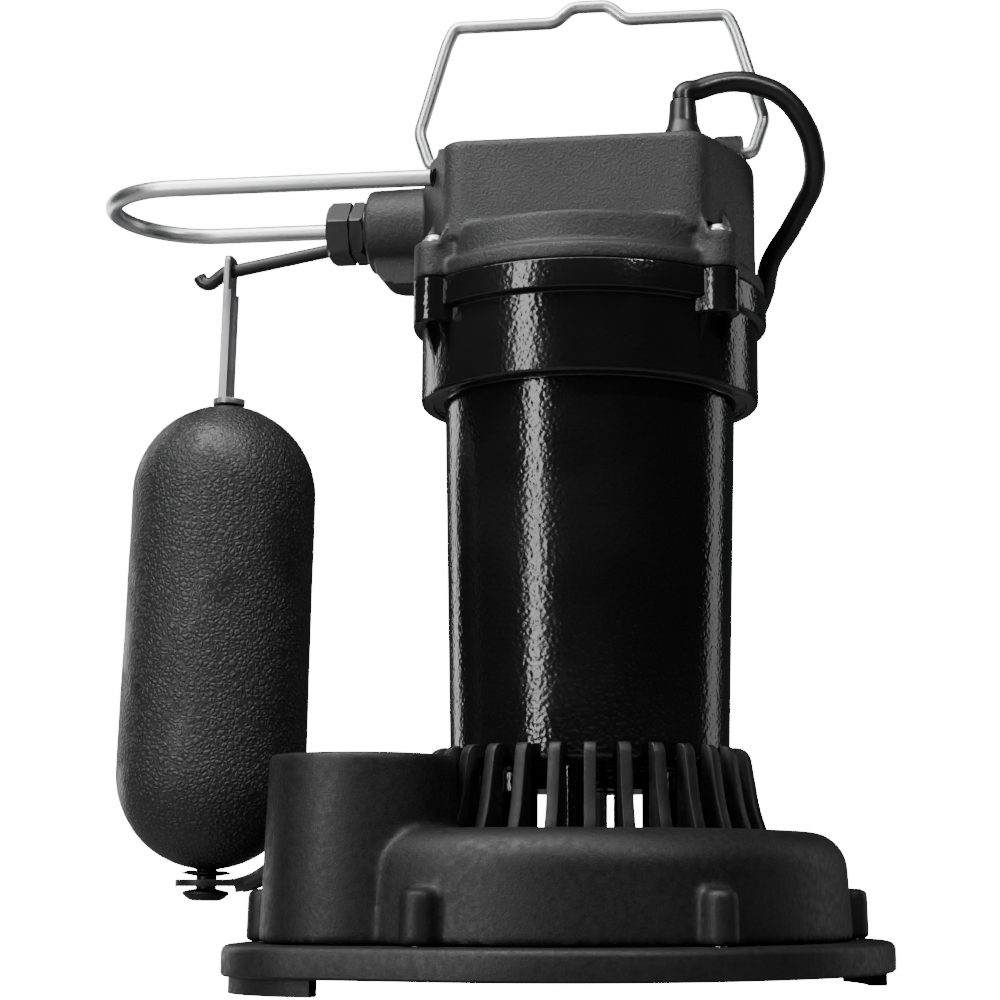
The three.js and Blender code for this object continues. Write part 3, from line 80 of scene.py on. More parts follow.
# %% [markdown]
# ## The camera
#
# The pump is seen from low in front and a little to its right, and the lens looks slightly up. The pump is
# tall, so a long lens stands well back. A small sideways shift frames it without turning the camera, which
# keeps upright edges upright.

# %% Camera
CAMERA_AZIMUTH = math.radians(7.5)
CAMERA_DISTANCE = 760
CAMERA_HEIGHT = 33.7
CAMERA_PITCH = math.radians(9.9)
SENSOR = 36
LENS = 79.2

camera_data = bpy.data.cameras.new("camera")
camera = bpy.data.objects.new("camera", camera_data)
bpy.context.scene.collection.objects.link(camera)
camera_data.sensor_width = SENSOR
camera_data.lens = LENS
camera_data.shift_x = -0.09
camera_data.clip_start = 0.01
camera.location = at(
    CAMERA_DISTANCE * math.sin(CAMERA_AZIMUTH),
    -CAMERA_DISTANCE * math.cos(CAMERA_AZIMUTH),
    CAMERA_HEIGHT,
)
camera.rotation_euler = (math.pi / 2 + CAMERA_PITCH, 0, CAMERA_AZIMUTH)
bpy.context.scene.camera = camera
print("camera at", tuple(round(v, 3) for v in camera.location))

# %% [markdown]
# ## Floor and light
#
# Black gloss shows nothing but reflections, so the light is planned as shapes. A tall narrow box in front
# on the left draws the bright stripe down the barrel, and two strips behind draw the rims. Soft lights from
# above open the matt plastic, the screw ears and the bent rods. The world and the floor are white to the
# camera only, and dim to everything else, so that the middle of the barrel stays black.

# %% World
PAPER_WHITE = 16

world = bpy.data.worlds.new("studio")
bpy.context.scene.world = world
world.use_nodes = True
sky = world.node_tree
sky.nodes.clear()
seen = sky.nodes.new("ShaderNodeBackground")
seen.inputs["Color"].default_value = (1, 1, 1, 1)
seen.inputs["Strength"].default_value = PAPER_WHITE
dim = sky.nodes.new("ShaderNodeBackground")
dim.inputs["Color"].default_value = (0.9, 0.95, 1, 1)
dim.inputs["Strength"].default_value = 0.03
ray = sky.nodes.new("ShaderNodeLightPath")
either = sky.nodes.new("ShaderNodeMixShader")
sky_out = sky.nodes.new("ShaderNodeOutputWorld")
sky.links.new(ray.outputs["Is Camera Ray"], either.inputs["Fac"])
sky.links.new(dim.outputs[0], either.inputs[1])
sky.links.new(seen.outputs[0], either.inputs[2])
sky.links.new(either.outputs[0], sky_out.inputs[0])


# %% Lights
def soft_box(name, place, aim, size, watts):
    """An area light of a width and a height, in millimetres, that faces a point."""
    data = bpy.data.lights.new(name, "AREA")
    data.shape = "RECTANGLE"
    data.size, data.size_y = size[0] * MM, size[1] * MM
    data.energy = watts
    light = bpy.data.objects.new(name, data)
    light.location = at(*place)
    away = (at(*aim) - light.location).normalized()
    light.rotation_euler = away.to_track_quat("-Z", "Y").to_euler()
    bpy.context.scene.collection.objects.link(light)
    return light


# Each light has a name, a place, the point it faces, a width and height, and its watts.
LIGHTS = [
    ("key_strip", (-430, -620, 330), (0, 0, 170), (130, 620), 3.2),
    ("left_rim", (-620, 420, 240), (0, 0, 160), (240, 760), 1.7),
    ("right_rim", (640, 420, 240), (0, 0, 160), (220, 760), 0.7),
    ("top_wash", (-60, -260, 900), (0, 0, 120), (700, 500), 4),
    ("ear_kicker", (330, -420, 560), (50, -40, 230), (60, 60), 1.2),
    ("rod_card", (-300, -300, 760), (-60, 0, 300), (420, 420), 4),
]
for settings in LIGHTS:
    soft_box(*settings)


# %% Floor
def floor_plane():
    half = 6.0
    mesh = bpy.data.meshes.new("floor")
    corners = [(-half, -half, 0), (half, -half, 0), (half, half, 0), (-half, half, 0)]
    mesh.from_pydata(corners, [], [(0, 1, 2, 3)])
    plane = bpy.data.objects.new("floor", mesh)
    bpy.context.scene.collection.objects.link(plane)
    paint = bpy.data.materials.new("floor_paper")
    paint.use_nodes = True
    shader = paint.node_tree.nodes["Principled BSDF"]
    shader.inputs["Base Color"].default_value = (0.25, 0.25, 0.25, 1)
    shader.inputs["Roughness"].default_value = 0.9
    tree = paint.node_tree
    glow = tree.nodes.new("ShaderNodeEmission")
    glow.inputs["Strength"].default_value = PAPER_WHITE
    ray = tree.nodes.new("ShaderNodeLightPath")
    either = tree.nodes.new("ShaderNodeMixShader")
    tree.links.new(ray.outputs["Is Camera Ray"], either.inputs["Fac"])
    tree.links.new(shader.outputs[0], either.inputs[1])
    tree.links.new(glow.outputs[0], either.inputs[2])
    tree.links.new(either.outputs[0], tree.nodes["Material Output"].inputs["Surface"])
    mesh.materials.append(paint)
    return plane


floor_plane()

# %% [markdown]
# ## Finishes
#
# Each finish is a Principled shader in its own material. What several of them share, such as the grain of
# a casting, the peel of thick paint, dust specks and a painted highlight on raised edges, is built once as a
# node group that puts out masks and heights. The groups read Object coordinates, so a pattern has the same
# size on every piece.

# %% Helpers that build node trees
def wire(tree, kind, inputs=None, **settings):
    """A node with its settings, and with inputs that are values or other nodes' outputs."""
    made = tree.nodes.new(kind)
    for name, value in settings.items():
        setattr(made, name, value)
    for name, value in (inputs or {}).items():
        if isinstance(value, bpy.types.NodeSocket):
            tree.links.new(value, made.inputs[name])
        else:
            made.inputs[name].default_value = value
    return made


def calculate(tree, operation, first, second=0.0, clamp=False):
    made = wire(tree, "ShaderNodeMath", {0: first, 1: second}, operation=operation, use_clamp=clamp)
    return made.outputs[0]


def between(tree, value, low, high, to_low=0.0, to_high=1.0):
    """A value's place between two limits, as a number between two others."""
    made = wire(tree, "ShaderNodeMapRange", {
        "Value": value, "From Min": low, "From Max": high, "To Min": to_low, "To Max": to_high,
    }, interpolation_type="SMOOTHSTEP")
    return made.outputs["Result"]


def shader_group(name, inputs, outputs, build):
    """A group of shader nodes with named number inputs, each with its usual value."""
    tree = bpy.data.node_groups.new(name, "ShaderNodeTree")
    for label, value in inputs.items():
        socket = tree.interface.new_socket(label, in_out="INPUT", socket_type="NodeSocketFloat")
        socket.default_value = value
    for label in outputs:
        tree.interface.new_socket(label, in_out="OUTPUT", socket_type="NodeSocketFloat")
    given = tree.nodes.new("NodeGroupInput")
    result = tree.nodes.new("NodeGroupOutput")
    place = tree.nodes.new("ShaderNodeTexCoord").outputs["Object"]
    for label, value in build(tree, given.outputs, place).items():
        tree.links.new(value, result.inputs[label])
    return tree


# %% Effects that finishes share
def noisy(tree, place, scale, detail, roughness=0.5):
    return wire(tree, "ShaderNodeTexNoise", {
        "Vector": place, "Scale": scale, "Detail": detail, "Roughness": roughness,
    }).outputs


def wandering(tree, place, scale, detail, sway):
    """Places that stray a little, so that cells laid on them differ in size."""
    stray = noisy(tree, place, scale, detail)["Color"]
    scaled = wire(tree, "ShaderNodeVectorMath", {0: stray, 1: sway}, operation="MULTIPLY").outputs[0]
    return wire(tree, "ShaderNodeVectorMath", {0: place, 1: scaled}, operation="ADD").outputs[0]


def build_grain(tree, given, place):
    fine = noisy(tree, place, given["Scale"], 5.0, 0.62)["Fac"]
    broad = noisy(tree, place, 38.0, 3.0)["Fac"]
    return {"Height": fine, "Cloud": between(tree, broad, 0.34, 0.66)}


grain = shader_group("cast_grain", {"Scale": 1500.0}, ["Height", "Cloud"], build_grain)


def build_peel(tree, given, place):
    """The dimples of thick paint: rounded cells whose size wanders."""
    strayed = wandering(tree, place, 260.0, 1.0, (0.0016, 0.0016, 0.0016))
    cells = wire(tree, "ShaderNodeTexVoronoi", {
        "Vector": strayed, "Scale": given["Scale"], "Smoothness": 0.8,
    }, feature="SMOOTH_F1").outputs["Distance"]
    soft = calculate(tree, "MULTIPLY", noisy(tree, place, 700.0, 2.0)["Fac"], 0.6)
    patch = noisy(tree, place, 22.0, 2.0)["Fac"]
    return {"Height": calculate(tree, "ADD", cells, soft), "Patch": between(tree, patch, 0.35, 0.65)}


peel = shader_group("paint_peel", {"Scale": 620.0}, ["Height", "Patch"], build_peel)


def build_pebble(tree, given, place):
    """A moulded leather grain: uneven pebbles between creases, worn smooth in patches."""
    strayed = wandering(tree, place, 300.0, 2.0, (0.0024, 0.0024, 0.0014))
    cells = wire(tree, "ShaderNodeTexVoronoi", {
        "Vector": strayed, "Scale": given["Scale"],
    }, feature="DISTANCE_TO_EDGE").outputs["Distance"]
    patch = noisy(tree, place, 34.0, 4.0, 0.6)["Fac"]
    return {"Height": between(tree, cells, 0.02, 0.34), "Worn": between(tree, patch, 0.46, 0.66)}


pebble = shader_group("pebble_grain", {"Scale": 560.0}, ["Height", "Worn"], build_pebble)


def build_specks(tree, given, place):
    """Sparse light specks of dust and moulding flaws."""
    dots = wire(tree, "ShaderNodeTexVoronoi", {"Vector": place, "Scale": given["Scale"]}, feature="F1")
    near = between(tree, dots.outputs["Distance"], 0.10, 0.03)
    chosen = wire(tree, "ShaderNodeSeparateColor", {"Color": dots.outputs["Color"]})
    rare = between(tree, chosen.outputs["Red"], given["Rarity"], 1.0)
    return {"Mask": calculate(tree, "MULTIPLY", near, rare, clamp=True)}


specks = shader_group("dust_specks", {"Scale": 240.0, "Rarity": 0.93}, ["Mask"], build_specks)


def build_edge_highlight(tree, given, place):
    """A mask of raised edges, broken into patches, for a painted highlight of lighter grey."""
    shape = tree.nodes.new("ShaderNodeNewGeometry")
    raised = between(tree, shape.outputs["Pointiness"], given["From"], given["To"])
    # The noise breaks the painted highlight on the edges into patches.
    rubbed = between(tree, noisy(tree, place, 180.0, 3.0)["Fac"], 0.3, 0.62)
    return {"Mask": calculate(tree, "MULTIPLY", raised, rubbed, clamp=True)}


edge_rub = shader_group("edge_rub", {"From": 0.52, "To": 0.6}, ["Mask"], build_edge_highlight)
print("shared effects", [g.name for g in (grain, peel, pebble, specks, edge_rub)])


# %% A finish and what feeds it
COOL = 1.03  # greys are a little blue


def grouped(tree, group, **values):
    made = wire(tree, "ShaderNodeGroup", node_tree=group)
    for name, value in values.items():
        made.inputs[name].default_value = value
    return made.outputs


def blended(tree, mask, dark, light):
    """Between two greys, colours or other nodes' colours."""
    made = wire(tree, "ShaderNodeMix", data_type="RGBA")
    tree.links.new(mask, made.inputs[0])
    for socket, value in ((made.inputs[6], dark), (made.inputs[7], light)):
        if isinstance(value, bpy.types.NodeSocket):
            tree.links.new(value, socket)
        elif hasattr(value, "__len__"):
            socket.default_value = (*value, 1)
        else:
            socket.default_value = (value, value, value * COOL, 1)
    return made.outputs[2]


def bumped(tree, height, depth):
    """A normal from a height, with the bump's depth in millimetres."""
    inputs = {"Height": height, "Distance": depth * MM, "Strength": 1.0}
    return wire(tree, "ShaderNodeBump", inputs).outputs["Normal"]


def finish(name, color, roughness, normal=None, **values):
    """A material. Colour, roughness and normal are given as functions of the tree, the rest as values."""
    material = bpy.data.materials.new(name)
    material.use_nodes = True
    tree = material.node_tree
    shader = tree.nodes["Principled BSDF"]
    tree.links.new(color(tree), shader.inputs["Base Color"])
    tree.links.new(roughness(tree), shader.inputs["Roughness"])
    if normal:
        tree.links.new(normal(tree), shader.inputs["Normal"])
    for label, value in values.items():
        shader.inputs[label.replace("_", " ")].default_value = value
    return material


# %% [markdown]
# ### Painted castings
#
# The motor housing wears a thick gloss paint that dried with an orange peel. It is nearly black, so its
# look is all in how the peel breaks the edge of each reflection. The cap was painted thinly: its cast
# grain still shows, and it is a satin grey, with a painted highlight of lighter grey on its raised edges
# where they catch light.

# %% Painted castings
def peel_color(tree):
    return blended(tree, grouped(tree, peel)["Patch"], 0.0055, 0.0085)


def peel_roughness(tree):
    return between(tree, grouped(tree, peel)["Patch"], 0.0, 1.0, 0.11, 0.17)


def peel_normal(tree):
    return bumped(tree, grouped(tree, peel, Scale=640.0)["Height"], 0.10)


gloss_paint = finish("gloss_paint", peel_color, peel_roughness, peel_normal, Specular_IOR_Level=0.5)


def satin_color_with_edge_highlight(tree):
    cloud = blended(tree, grouped(tree, grain)["Cloud"], 0.012, 0.019)
    # Raised edges are painted a lighter grey: a painted highlight where the edges catch light.
    return blended(tree, grouped(tree, edge_rub)["Mask"], cloud, (0.10, 0.10, 0.103))


def satin_roughness(tree):
    return between(tree, grouped(tree, grain, Scale=900.0)["Height"], 0.3, 0.7, 0.36, 0.5)


def satin_normal(tree):
    return bumped(tree, grouped(tree, grain, Scale=1050.0)["Height"], 0.34)


satin_paint = finish("satin_paint", satin_color_with_edge_highlight, satin_roughness, satin_normal)
print("painted finishes", gloss_paint.name, satin_paint.name)


# %% [markdown]
# ### Moulded plastics
#
# The volute and base are glass-filled plastic, matt and slightly cloudy, with small light specks. The
# float is a softer plastic, blow-moulded in a tool with a leather grain, and it is polished in patches.

# %% Moulded plastics
def plastic_color(tree):
    base = blended(tree, grouped(tree, grain)["Cloud"], 0.0045, 0.0075)
    return blended(tree, grouped(tree, specks)["Mask"], base, (0.16, 0.16, 0.16))


def plastic_roughness(tree):
    return between(tree, grouped(tree, grain, Scale=420.0)["Height"], 0.3, 0.7, 0.44, 0.6)


def plastic_normal(tree):
    return bumped(tree, grouped(tree, grain, Scale=800.0)["Height"], 0.10)


matt_plastic = finish("matt_plastic", plastic_color, plastic_roughness, plastic_normal)


def float_color_with_crease_shade(tree):
    # The creases between the pebbles are painted darker: painted shade in the creases.
    return blended(tree, grouped(tree, pebble)["Height"], 0.013, 0.030)


def float_roughness(tree):
    return between(tree, grouped(tree, pebble)["Worn"], 0.0, 1.0, 0.52, 0.36)


def float_normal(tree):
    made = grouped(tree, pebble)
    fine = grouped(tree, grain, Scale=1800.0)["Height"]
    depth = between(tree, made["Worn"], 0.0, 1.0, 1.0, 0.35)
    height = calculate(tree, "MULTIPLY", made["Height"], depth)
    return bumped(tree, calculate(tree, "ADD", height, calculate(tree, "MULTIPLY", fine, 0.25)), 0.30)


float_skin = finish("float_skin", float_color_with_crease_shade, float_roughness, float_normal)
print("plastic finishes", matt_plastic.name, float_skin.name)


# %% [markdown]
# ### Metal, rubber and cord
#
# The bail and the guard are bright stainless wire with fine drawing marks. The lever is blackened rod, and
# the hanger a darker folded strip. The cord's jacket and the rubber pieces are smooth with a soft sheen.

# %% Metal finishes
def even(value, spread=0.0, scale=600.0):
    """A roughness that wanders a little about a value."""
    def build(tree):
        height = grouped(tree, grain, Scale=scale)["Height"]
        return between(tree, height, 0.3, 0.7, value - spread, value + spread)
    return build


def tones(dark, light):
    return lambda tree: blended(tree, grouped(tree, grain)["Cloud"], dark, light)


def surface(depth, scale):
    return lambda tree: bumped(tree, grouped(tree, grain, Scale=scale)["Height"], depth)


stainless = finish("stainless", tones((0.78, 0.79, 0.80), (0.88, 0.89, 0.90)), even(0.34, 0.06, 900.0),
                   surface(0.012, 1400.0), Metallic=1.0)
black_steel = finish("black_steel", tones(0.011, 0.019), even(0.36, 0.07), surface(0.03, 900.0))
strap_steel = finish("strap_steel", tones(0.22, 0.30), even(0.38, 0.06), surface(0.02, 1100.0), Metallic=0.55)
finish("plain_steel", tones((0.36, 0.36, 0.37), (0.48, 0.48, 0.49)), even(0.34, 0.08),
                     surface(0.01, 1200.0), Metallic=1.0)
finish("bearing_steel", tones((0.55, 0.55, 0.57), (0.66, 0.66, 0.68)), even(0.12, 0.04),
                       surface(0.004, 1500.0), Metallic=1.0)
finish("brass", tones((0.60, 0.44, 0.19), (0.72, 0.54, 0.26)), even(0.28, 0.06),
               surface(0.008, 1200.0), Metallic=1.0)
finish("rubber", tones(0.0095, 0.014), even(0.46, 0.06), surface(0.03, 700.0))
cord_jacket = finish("cord_jacket", tones(0.0085, 0.012), even(0.33, 0.05), surface(0.025, 500.0))
finish("light_plastic", tones((0.56, 0.53, 0.46), (0.64, 0.61, 0.54)), even(0.5, 0.05),
                       surface(0.02, 900.0))


# %% Motor finishes, for what is inside
def stripe_color(direction, scale, dark, light):
    """Thin layers or turns of wire, across one direction."""
    def build(tree):
        place = tree.nodes.new("ShaderNodeTexCoord").outputs["Object"]
        wave = wire(tree, "ShaderNodeTexWave",
            {"Vector": place, "Scale": scale, "Distortion": 0.4, "Detail": 1.0},
                    bands_direction=direction)
        return blended(tree, wave.outputs["Fac"], dark, light)
    return build


finish("lamination", stripe_color("Z", 320.0, (0.10, 0.10, 0.11), (0.30, 0.30, 0.31)),
                    even(0.42, 0.06), surface(0.02, 900.0), Metallic=0.9)
finish("copper_wire", stripe_color("DIAGONAL", 260.0, (0.22, 0.075, 0.03), (0.55, 0.22, 0.09)),
                     even(0.34, 0.06), surface(0.05, 700.0), Metallic=0.8)
print("finishes", len(bpy.data.materials))

# %% [markdown]
# ## The power cord
#
# The cord is 8 ft of round three-core lead, 7.6 mm thick. It leaves the gland on the cap straight up,
# leans over the cap's right shoulder and runs down behind the pump to the floor. The length that isn't on
# show is wound into a coil behind the pump. The route is one smooth curve: a list of points down to the
# floor, and a loop that winds the turns. Each turn lies beside or on the one before.

# %% The route down to the floor
CORD_RADIUS = 3.8
ROUTE = [
    (35.5, -20.3, 303.9), (35.7, -20.1, 306.6), (40.3, -17.2, 308.9), (47.4, -14.3, 312),
    (55, -11.7, 313.3), (61.8, -9.2, 312.4), (69.7, -6.2, 309.1), (76.9, -1.8, 300.4),
    (80.1, 3, 291.6), (79.6, 8.8, 281.4), (75.9, 13.8, 275.2), (70.7, 19.3, 267.7),
    (63.1, 28.9, 258.8), (59.7, 42.2, 250.3), (52.2, 57.8, 239), (41.9, 71.5, 218.8),
    (31.2, 77.6, 191.6), (23.8, 81, 158.5), (20.7, 83.9, 122.8), (20.7, 89.5, 89.7),
    (24.1, 99.5, 62), (29.6, 110.1, 38.5), (33.2, 117.5, 22), (34.4, 122.5, 9.8),
    (34.2, 126.7, 5.4), (34, 130.9, 4.6),
]

# %% The turns of the coil
coil_low, coil_high = span("cord_coil")
coil_centre = (coil_low + coil_high) / 2
coil_outer = (coil_high.x - coil_low.x) / 2 - CORD_RADIUS - 0.4
turn_step = 2 * CORD_RADIUS + 0.2
columns = [coil_outer, coil_outer - turn_step, coil_outer - 2 * turn_step]
rows = [coil_low.z + CORD_RADIUS, coil_centre.z, coil_high.z - CORD_RADIUS]
# The winding's stages: the angle in degrees, the column from outside to inside, and the row from below.
STAGES = [
    (-36, 0, 0), (130, 0, 0), (482, 0, 2), (500, 0, 2), (590, 1, 2), (850, 1, 2), (940, 2, 2),
    (1200, 2, 2), (1290, 2, 1), (1560, 2, 1), (1650, 2, 0), (1900, 2, 0), (1990, 1, 0), (2260, 1, 0),
    (2350, 1, 1), (2610, 1, 1),
]
ANGLE_STEP = 22


def coil_point(angle):
    """The centre of the cord at an angle of the winding."""
    for (start, c0, r0), (end, c1, r1) in zip(STAGES, STAGES[1:]):
        if angle <= end:
            break
    share = (angle - start) / (end - start)
    ease = share * share * (3 - 2 * share)
    radius = columns[c0] + (columns[c1] - columns[c0]) * ease
    height = rows[r0] + (rows[r1] - rows[r0]) * ease
    turn = math.radians(angle)
    return (coil_centre.x + radius * math.cos(turn), coil_centre.y + radius * math.sin(turn), height)


winding = [coil_point(a) for a in np.arange(STAGES[0][0], STAGES[-1][0] + 1, ANGLE_STEP)]
plug_high = span("plug_body")[1]
winding[-1] = coil_point(STAGES[-1][0])
tail = [(x, winding[-1][1], winding[-1][2]) for x in (-28, -46, plug_high.x - 1)]
print("turns", round((STAGES[-1][0] - STAGES[0][0]) / 360, 2))


# %% The cord as one curve
def bezier_curve(name, points, radius=0.0, closed=False):
    """A smooth curve through points in millimetres, round if it has a radius."""
    data = bpy.data.curves.new(name, "CURVE")
    data.dimensions = "3D"
    line = data.splines.new("BEZIER")
    line.bezier_points.add(len(points) - 1)
    for knot, point in zip(line.bezier_points, points):
        knot.co = at(*point)
        knot.handle_left_type = knot.handle_right_type = "AUTO"
    line.use_cyclic_u = closed
    data.resolution_u = 6
    data.bevel_depth = radius * MM
    data.bevel_resolution = 5
    data.use_fill_caps = True
    curve = bpy.data.objects.new(name, data)
    bpy.context.scene.collection.objects.link(curve)
    return curve


power_cord = bezier_curve("power_cord", [*ROUTE, *winding, *tail], CORD_RADIUS)
power_cord.data.materials.append(cord_jacket)
bpy.context.view_layer.update()
print("cord points", len(power_cord.data.splines[0].bezier_points))

# %% Hand the cord over
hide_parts("cord_run", "cord_coil", "cord_tail")
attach(power_cord, "housing")

# %% [markdown]
# ## Making solids
#
# Castings are built the way a pattern is: plain turned and sawn shapes are joined, the joints are filled
# and rubbed down, and then the bores are cut. Turned shapes are profiles swept round an axis, sawn ones
# are outlines stacked at several heights, and a voxel remesh with smoothing fills the inner corners.

# %% Outlines and profiles
def bent(points, sizes, closed=False, steps=5):
    """A line through points, in two or three dimensions, whose corners are rounded."""
    corners = [Vector(point) for point in points]
    sizes = sizes if hasattr(sizes, "__len__") else [sizes] * len(corners)
    line = []
    for i, (here, size) in enumerate(zip(corners, sizes)):
        if size == 0 or (not closed and i in (0, len(corners) - 1)):
            line.append(here)
            continue
        before, after = corners[i - 1] - here, corners[(i + 1) % len(corners)] - here
        reach = min(size, before.length * 0.49, after.length * 0.49)
        start, end = here + before.normalized() * reach, here + after.normalized() * reach
        for k in range(steps + 1):
            t = k / steps
            line.append(start * (1 - t) ** 2 + here * (2 * t * (1 - t)) + end * t * t)
    return line


def circle_points(radius, steps, centre=(0, 0)):
    turns = [2 * math.pi / steps * i for i in range(steps)]
    return [Vector((centre[0] + radius * math.cos(t), centre[1] + radius * math.sin(t))) for t in turns]


def hull(points):
    """The outline that goes round a set of points, anticlockwise."""
    return [points[i] for i in geometry.convex_hull_2d(points)]


def polar(radius, degrees, centre=(0, 0)):
    turn = math.radians(degrees)
    return Vector((centre[0] + radius * math.cos(turn), centre[1] + radius * math.sin(turn)))


# %% Solids
SAME_POINT = 1e-4  # millimetres


def solid(name, vertices, faces):
    mesh = bpy.data.meshes.new(name)
    mesh.from_pydata(vertices, [], faces)
    work = bmesh.new()
    work.from_mesh(mesh)
    bmesh.ops.remove_doubles(work, verts=work.verts, dist=SAME_POINT)
    bmesh.ops.recalc_face_normals(work, faces=work.faces)
    work.to_mesh(mesh)
    work.free()
    made = bpy.data.objects.new(name, mesh)
    bpy.context.scene.collection.objects.link(made)
    return made


def band(lower, upper, count):
    """The faces between two rings of corners, which start at these numbers."""
    nexts = [(j + 1) % count for j in range(count)]
    return [(lower + j, lower + k, upper + k, upper + j) for j, k in enumerate(nexts)]


def turned(name, profile, steps=128, place=(0, 0)):
    """A profile of radii and heights, swept round an upright axis. It is a ring if it keeps off the axis."""
    open_ends = profile[0][0] == 0 and profile[-1][0] == 0
    count = len(profile)
    vertices, faces = [], []
    for radius, height in profile:
        vertices += [(*p, height) for p in circle_points(radius, steps, place)]
    for i in range(count - 1 if open_ends else count):
        faces += band(i * steps, (i + 1) % count * steps, steps)
    return solid(name, vertices, faces)


def stacked(name, outline_at, levels):
    """A solid through an outline at several heights. Each level is an inset and a height."""
    rings = [[(*p, height) for p in outline_at(inset)] for inset, height in levels]
    count = len(rings[0])
    faces = [tuple(range(count)), tuple(range((len(rings) - 1) * count, len(rings) * count))]
    for i in range(len(rings) - 1):
        faces += band(i * count, (i + 1) * count, count)
    return solid(name, [v for ring in rings for v in ring], faces)


def sawn(name, outline, near, far):
    """An outline of X and Z, as thick as from one Y to another."""
    made = stacked(name, lambda inset: outline, [(0, near), (0, far)])
    return moved(made, Matrix(((1, 0, 0, 0), (0, 0, 1, 0), (0, 1, 0, 0), (0, 0, 0, 1))), flip=True)


def moved(made, matrix, flip=False):
    made.data.transform(matrix)
    if flip:
        made.data.flip_normals()
    return made


def drum(radius, low, high, steps=64, place=(0, 0)):
    return turned("drum", [(0, low), (radius, low), (radius, high), (0, high)], steps, place)


def block(low, high):
    (x0, y0), (x1, y1) = low[:2], high[:2]
    outline = [Vector(corner) for corner in ((x0, y0), (x1, y0), (x1, y1), (x0, y1))]
    return stacked("block", lambda inset: outline, [(0, low[2]), (0, high[2])])


# %% Work on solids
def baked(made):
    """The object with its modifiers worked into a plain mesh."""
    bpy.context.view_layer.update()
    evaluated = made.evaluated_get(bpy.context.evaluated_depsgraph_get())
    mesh = bpy.data.meshes.new_from_object(evaluated)
    made.modifiers.clear()
    made.data = mesh
    return made


def worked(made, others, operation):
    """Other solids joined to one, cut out of it, or used to bound it."""
    for other in others:
        step = made.modifiers.new("step", "BOOLEAN")
        step.operation, step.solver, step.object = operation, "MANIFOLD", other
    baked(made)
    for other in others:
        bpy.data.objects.remove(other)
    return made


def filled(made, voxel, passes):
    """Its inner corners filled and its edges rubbed down."""
    remesh = made.modifiers.new("even", "REMESH")
    remesh.mode, remesh.voxel_size = "VOXEL", voxel
    smooth = made.modifiers.new("rub", "SMOOTH")
    smooth.iterations, smooth.factor = passes, 0.5
    return baked(made)


def beveled(made, width, segments=2):
    bevel = made.modifiers.new("edge", "BEVEL")
    bevel.width, bevel.segments, bevel.limit_method = width, segments, "ANGLE"
    bevel.angle_limit = math.radians(35)
    return baked(made)


def gathered(made, *others):
    """One object of several meshes."""
    work = bmesh.new()
    for part in (made, *others):
        work.from_mesh(part.data)
    work.to_mesh(made.data)
    work.free()
    for part in others:
        bpy.data.objects.remove(part)
    return made


def done(made, name, material, body, replaced, sharp=35):
    """Put a finished piece in its place, on its body and in its finish."""
    made.name = made.data.name = name
    made.data.transform(TO_ROW)
    made.data.materials.clear()
    made.data.materials.append(material)
    made.data.shade_smooth()
    made.data.set_sharp_from_angle(angle=math.radians(sharp))
    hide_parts(*replaced)
    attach(made, body)
    print(name, "faces", len(made.data.polygons))
    return made


# %% [markdown]
# ### Geometry Nodes
#
# Three trees do what repeats. One turns copies of a piece round the shaft, one puts a copy at every point
# of a mesh, and one makes round rod along a curve.

# %% Node trees for copies and rod
def geometry_tree(name, inputs):
    tree = bpy.data.node_groups.new(name, "GeometryNodeTree")
    tree.interface.new_socket("Geometry", in_out="INPUT", socket_type="NodeSocketGeometry")
    for label, kind in inputs.items():
        tree.interface.new_socket(label, in_out="INPUT", socket_type=kind)
    tree.interface.new_socket("Geometry", in_out="OUTPUT", socket_type="NodeSocketGeometry")
    return tree, tree.nodes.new("NodeGroupInput").outputs


def end_tree(tree, shape, material):
    real = wire(tree, "GeometryNodeRealizeInstances", {"Geometry": shape})
    coated = wire(tree, "GeometryNodeSetMaterial", {"Geometry": real.outputs[0], "Material": material})
    tree.links.new(coated.outputs[0], tree.nodes.new("NodeGroupOutput").inputs[0])
    return tree


round_copies, given = geometry_tree("round_copies", {
    "Piece": "NodeSocketObject", "Count": "NodeSocketInt", "Phase": "NodeSocketFloat",
    "Material": "NodeSocketMaterial",
})
dots = wire(round_copies, "GeometryNodePoints", {"Count": given["Count"]})
source = wire(round_copies, "GeometryNodeObjectInfo", {"Object": given["Piece"]})
index = round_copies.nodes.new("GeometryNodeInputIndex").outputs[0]
place = calculate(round_copies, "ADD", index, given["Phase"])
share = calculate(round_copies, "DIVIDE", place, given["Count"])
angle = calculate(round_copies, "MULTIPLY", share, 2 * math.pi)
turn = wire(round_copies, "ShaderNodeCombineXYZ", {"Z": angle})
copies = wire(round_copies, "GeometryNodeInstanceOnPoints", {
    "Points": dots.outputs[0], "Instance": source.outputs["Geometry"], "Rotation": turn.outputs[0]})
end_tree(round_copies, copies.outputs[0], given["Material"])

point_copies, given = geometry_tree("point_copies", {
    "Piece": "NodeSocketObject", "Material": "NodeSocketMaterial",
})
source = wire(point_copies, "GeometryNodeObjectInfo", {"Object": given["Piece"]})
copies = wire(point_copies, "GeometryNodeInstanceOnPoints", {
    "Points": given["Geometry"], "Instance": source.outputs["Geometry"]})
end_tree(point_copies, copies.outputs[0], given["Material"])

round_rod, given = geometry_tree("round_rod", {
    "Path": "NodeSocketObject", "Radius": "NodeSocketFloat", "Sides": "NodeSocketInt",
        "Material": "NodeSocketMaterial"})
source = wire(round_rod, "GeometryNodeObjectInfo", {"Object": given["Path"]})
section = wire(round_rod, "GeometryNodeCurvePrimitiveCircle",
    {"Radius": given["Radius"], "Resolution": given["Sides"]})
rod = wire(round_rod, "GeometryNodeCurveToMesh", {
    "Curve": source.outputs["Geometry"], "Profile Curve": section.outputs[0], "Fill Caps": True})
end_tree(round_rod, rod.outputs[0], given["Material"])


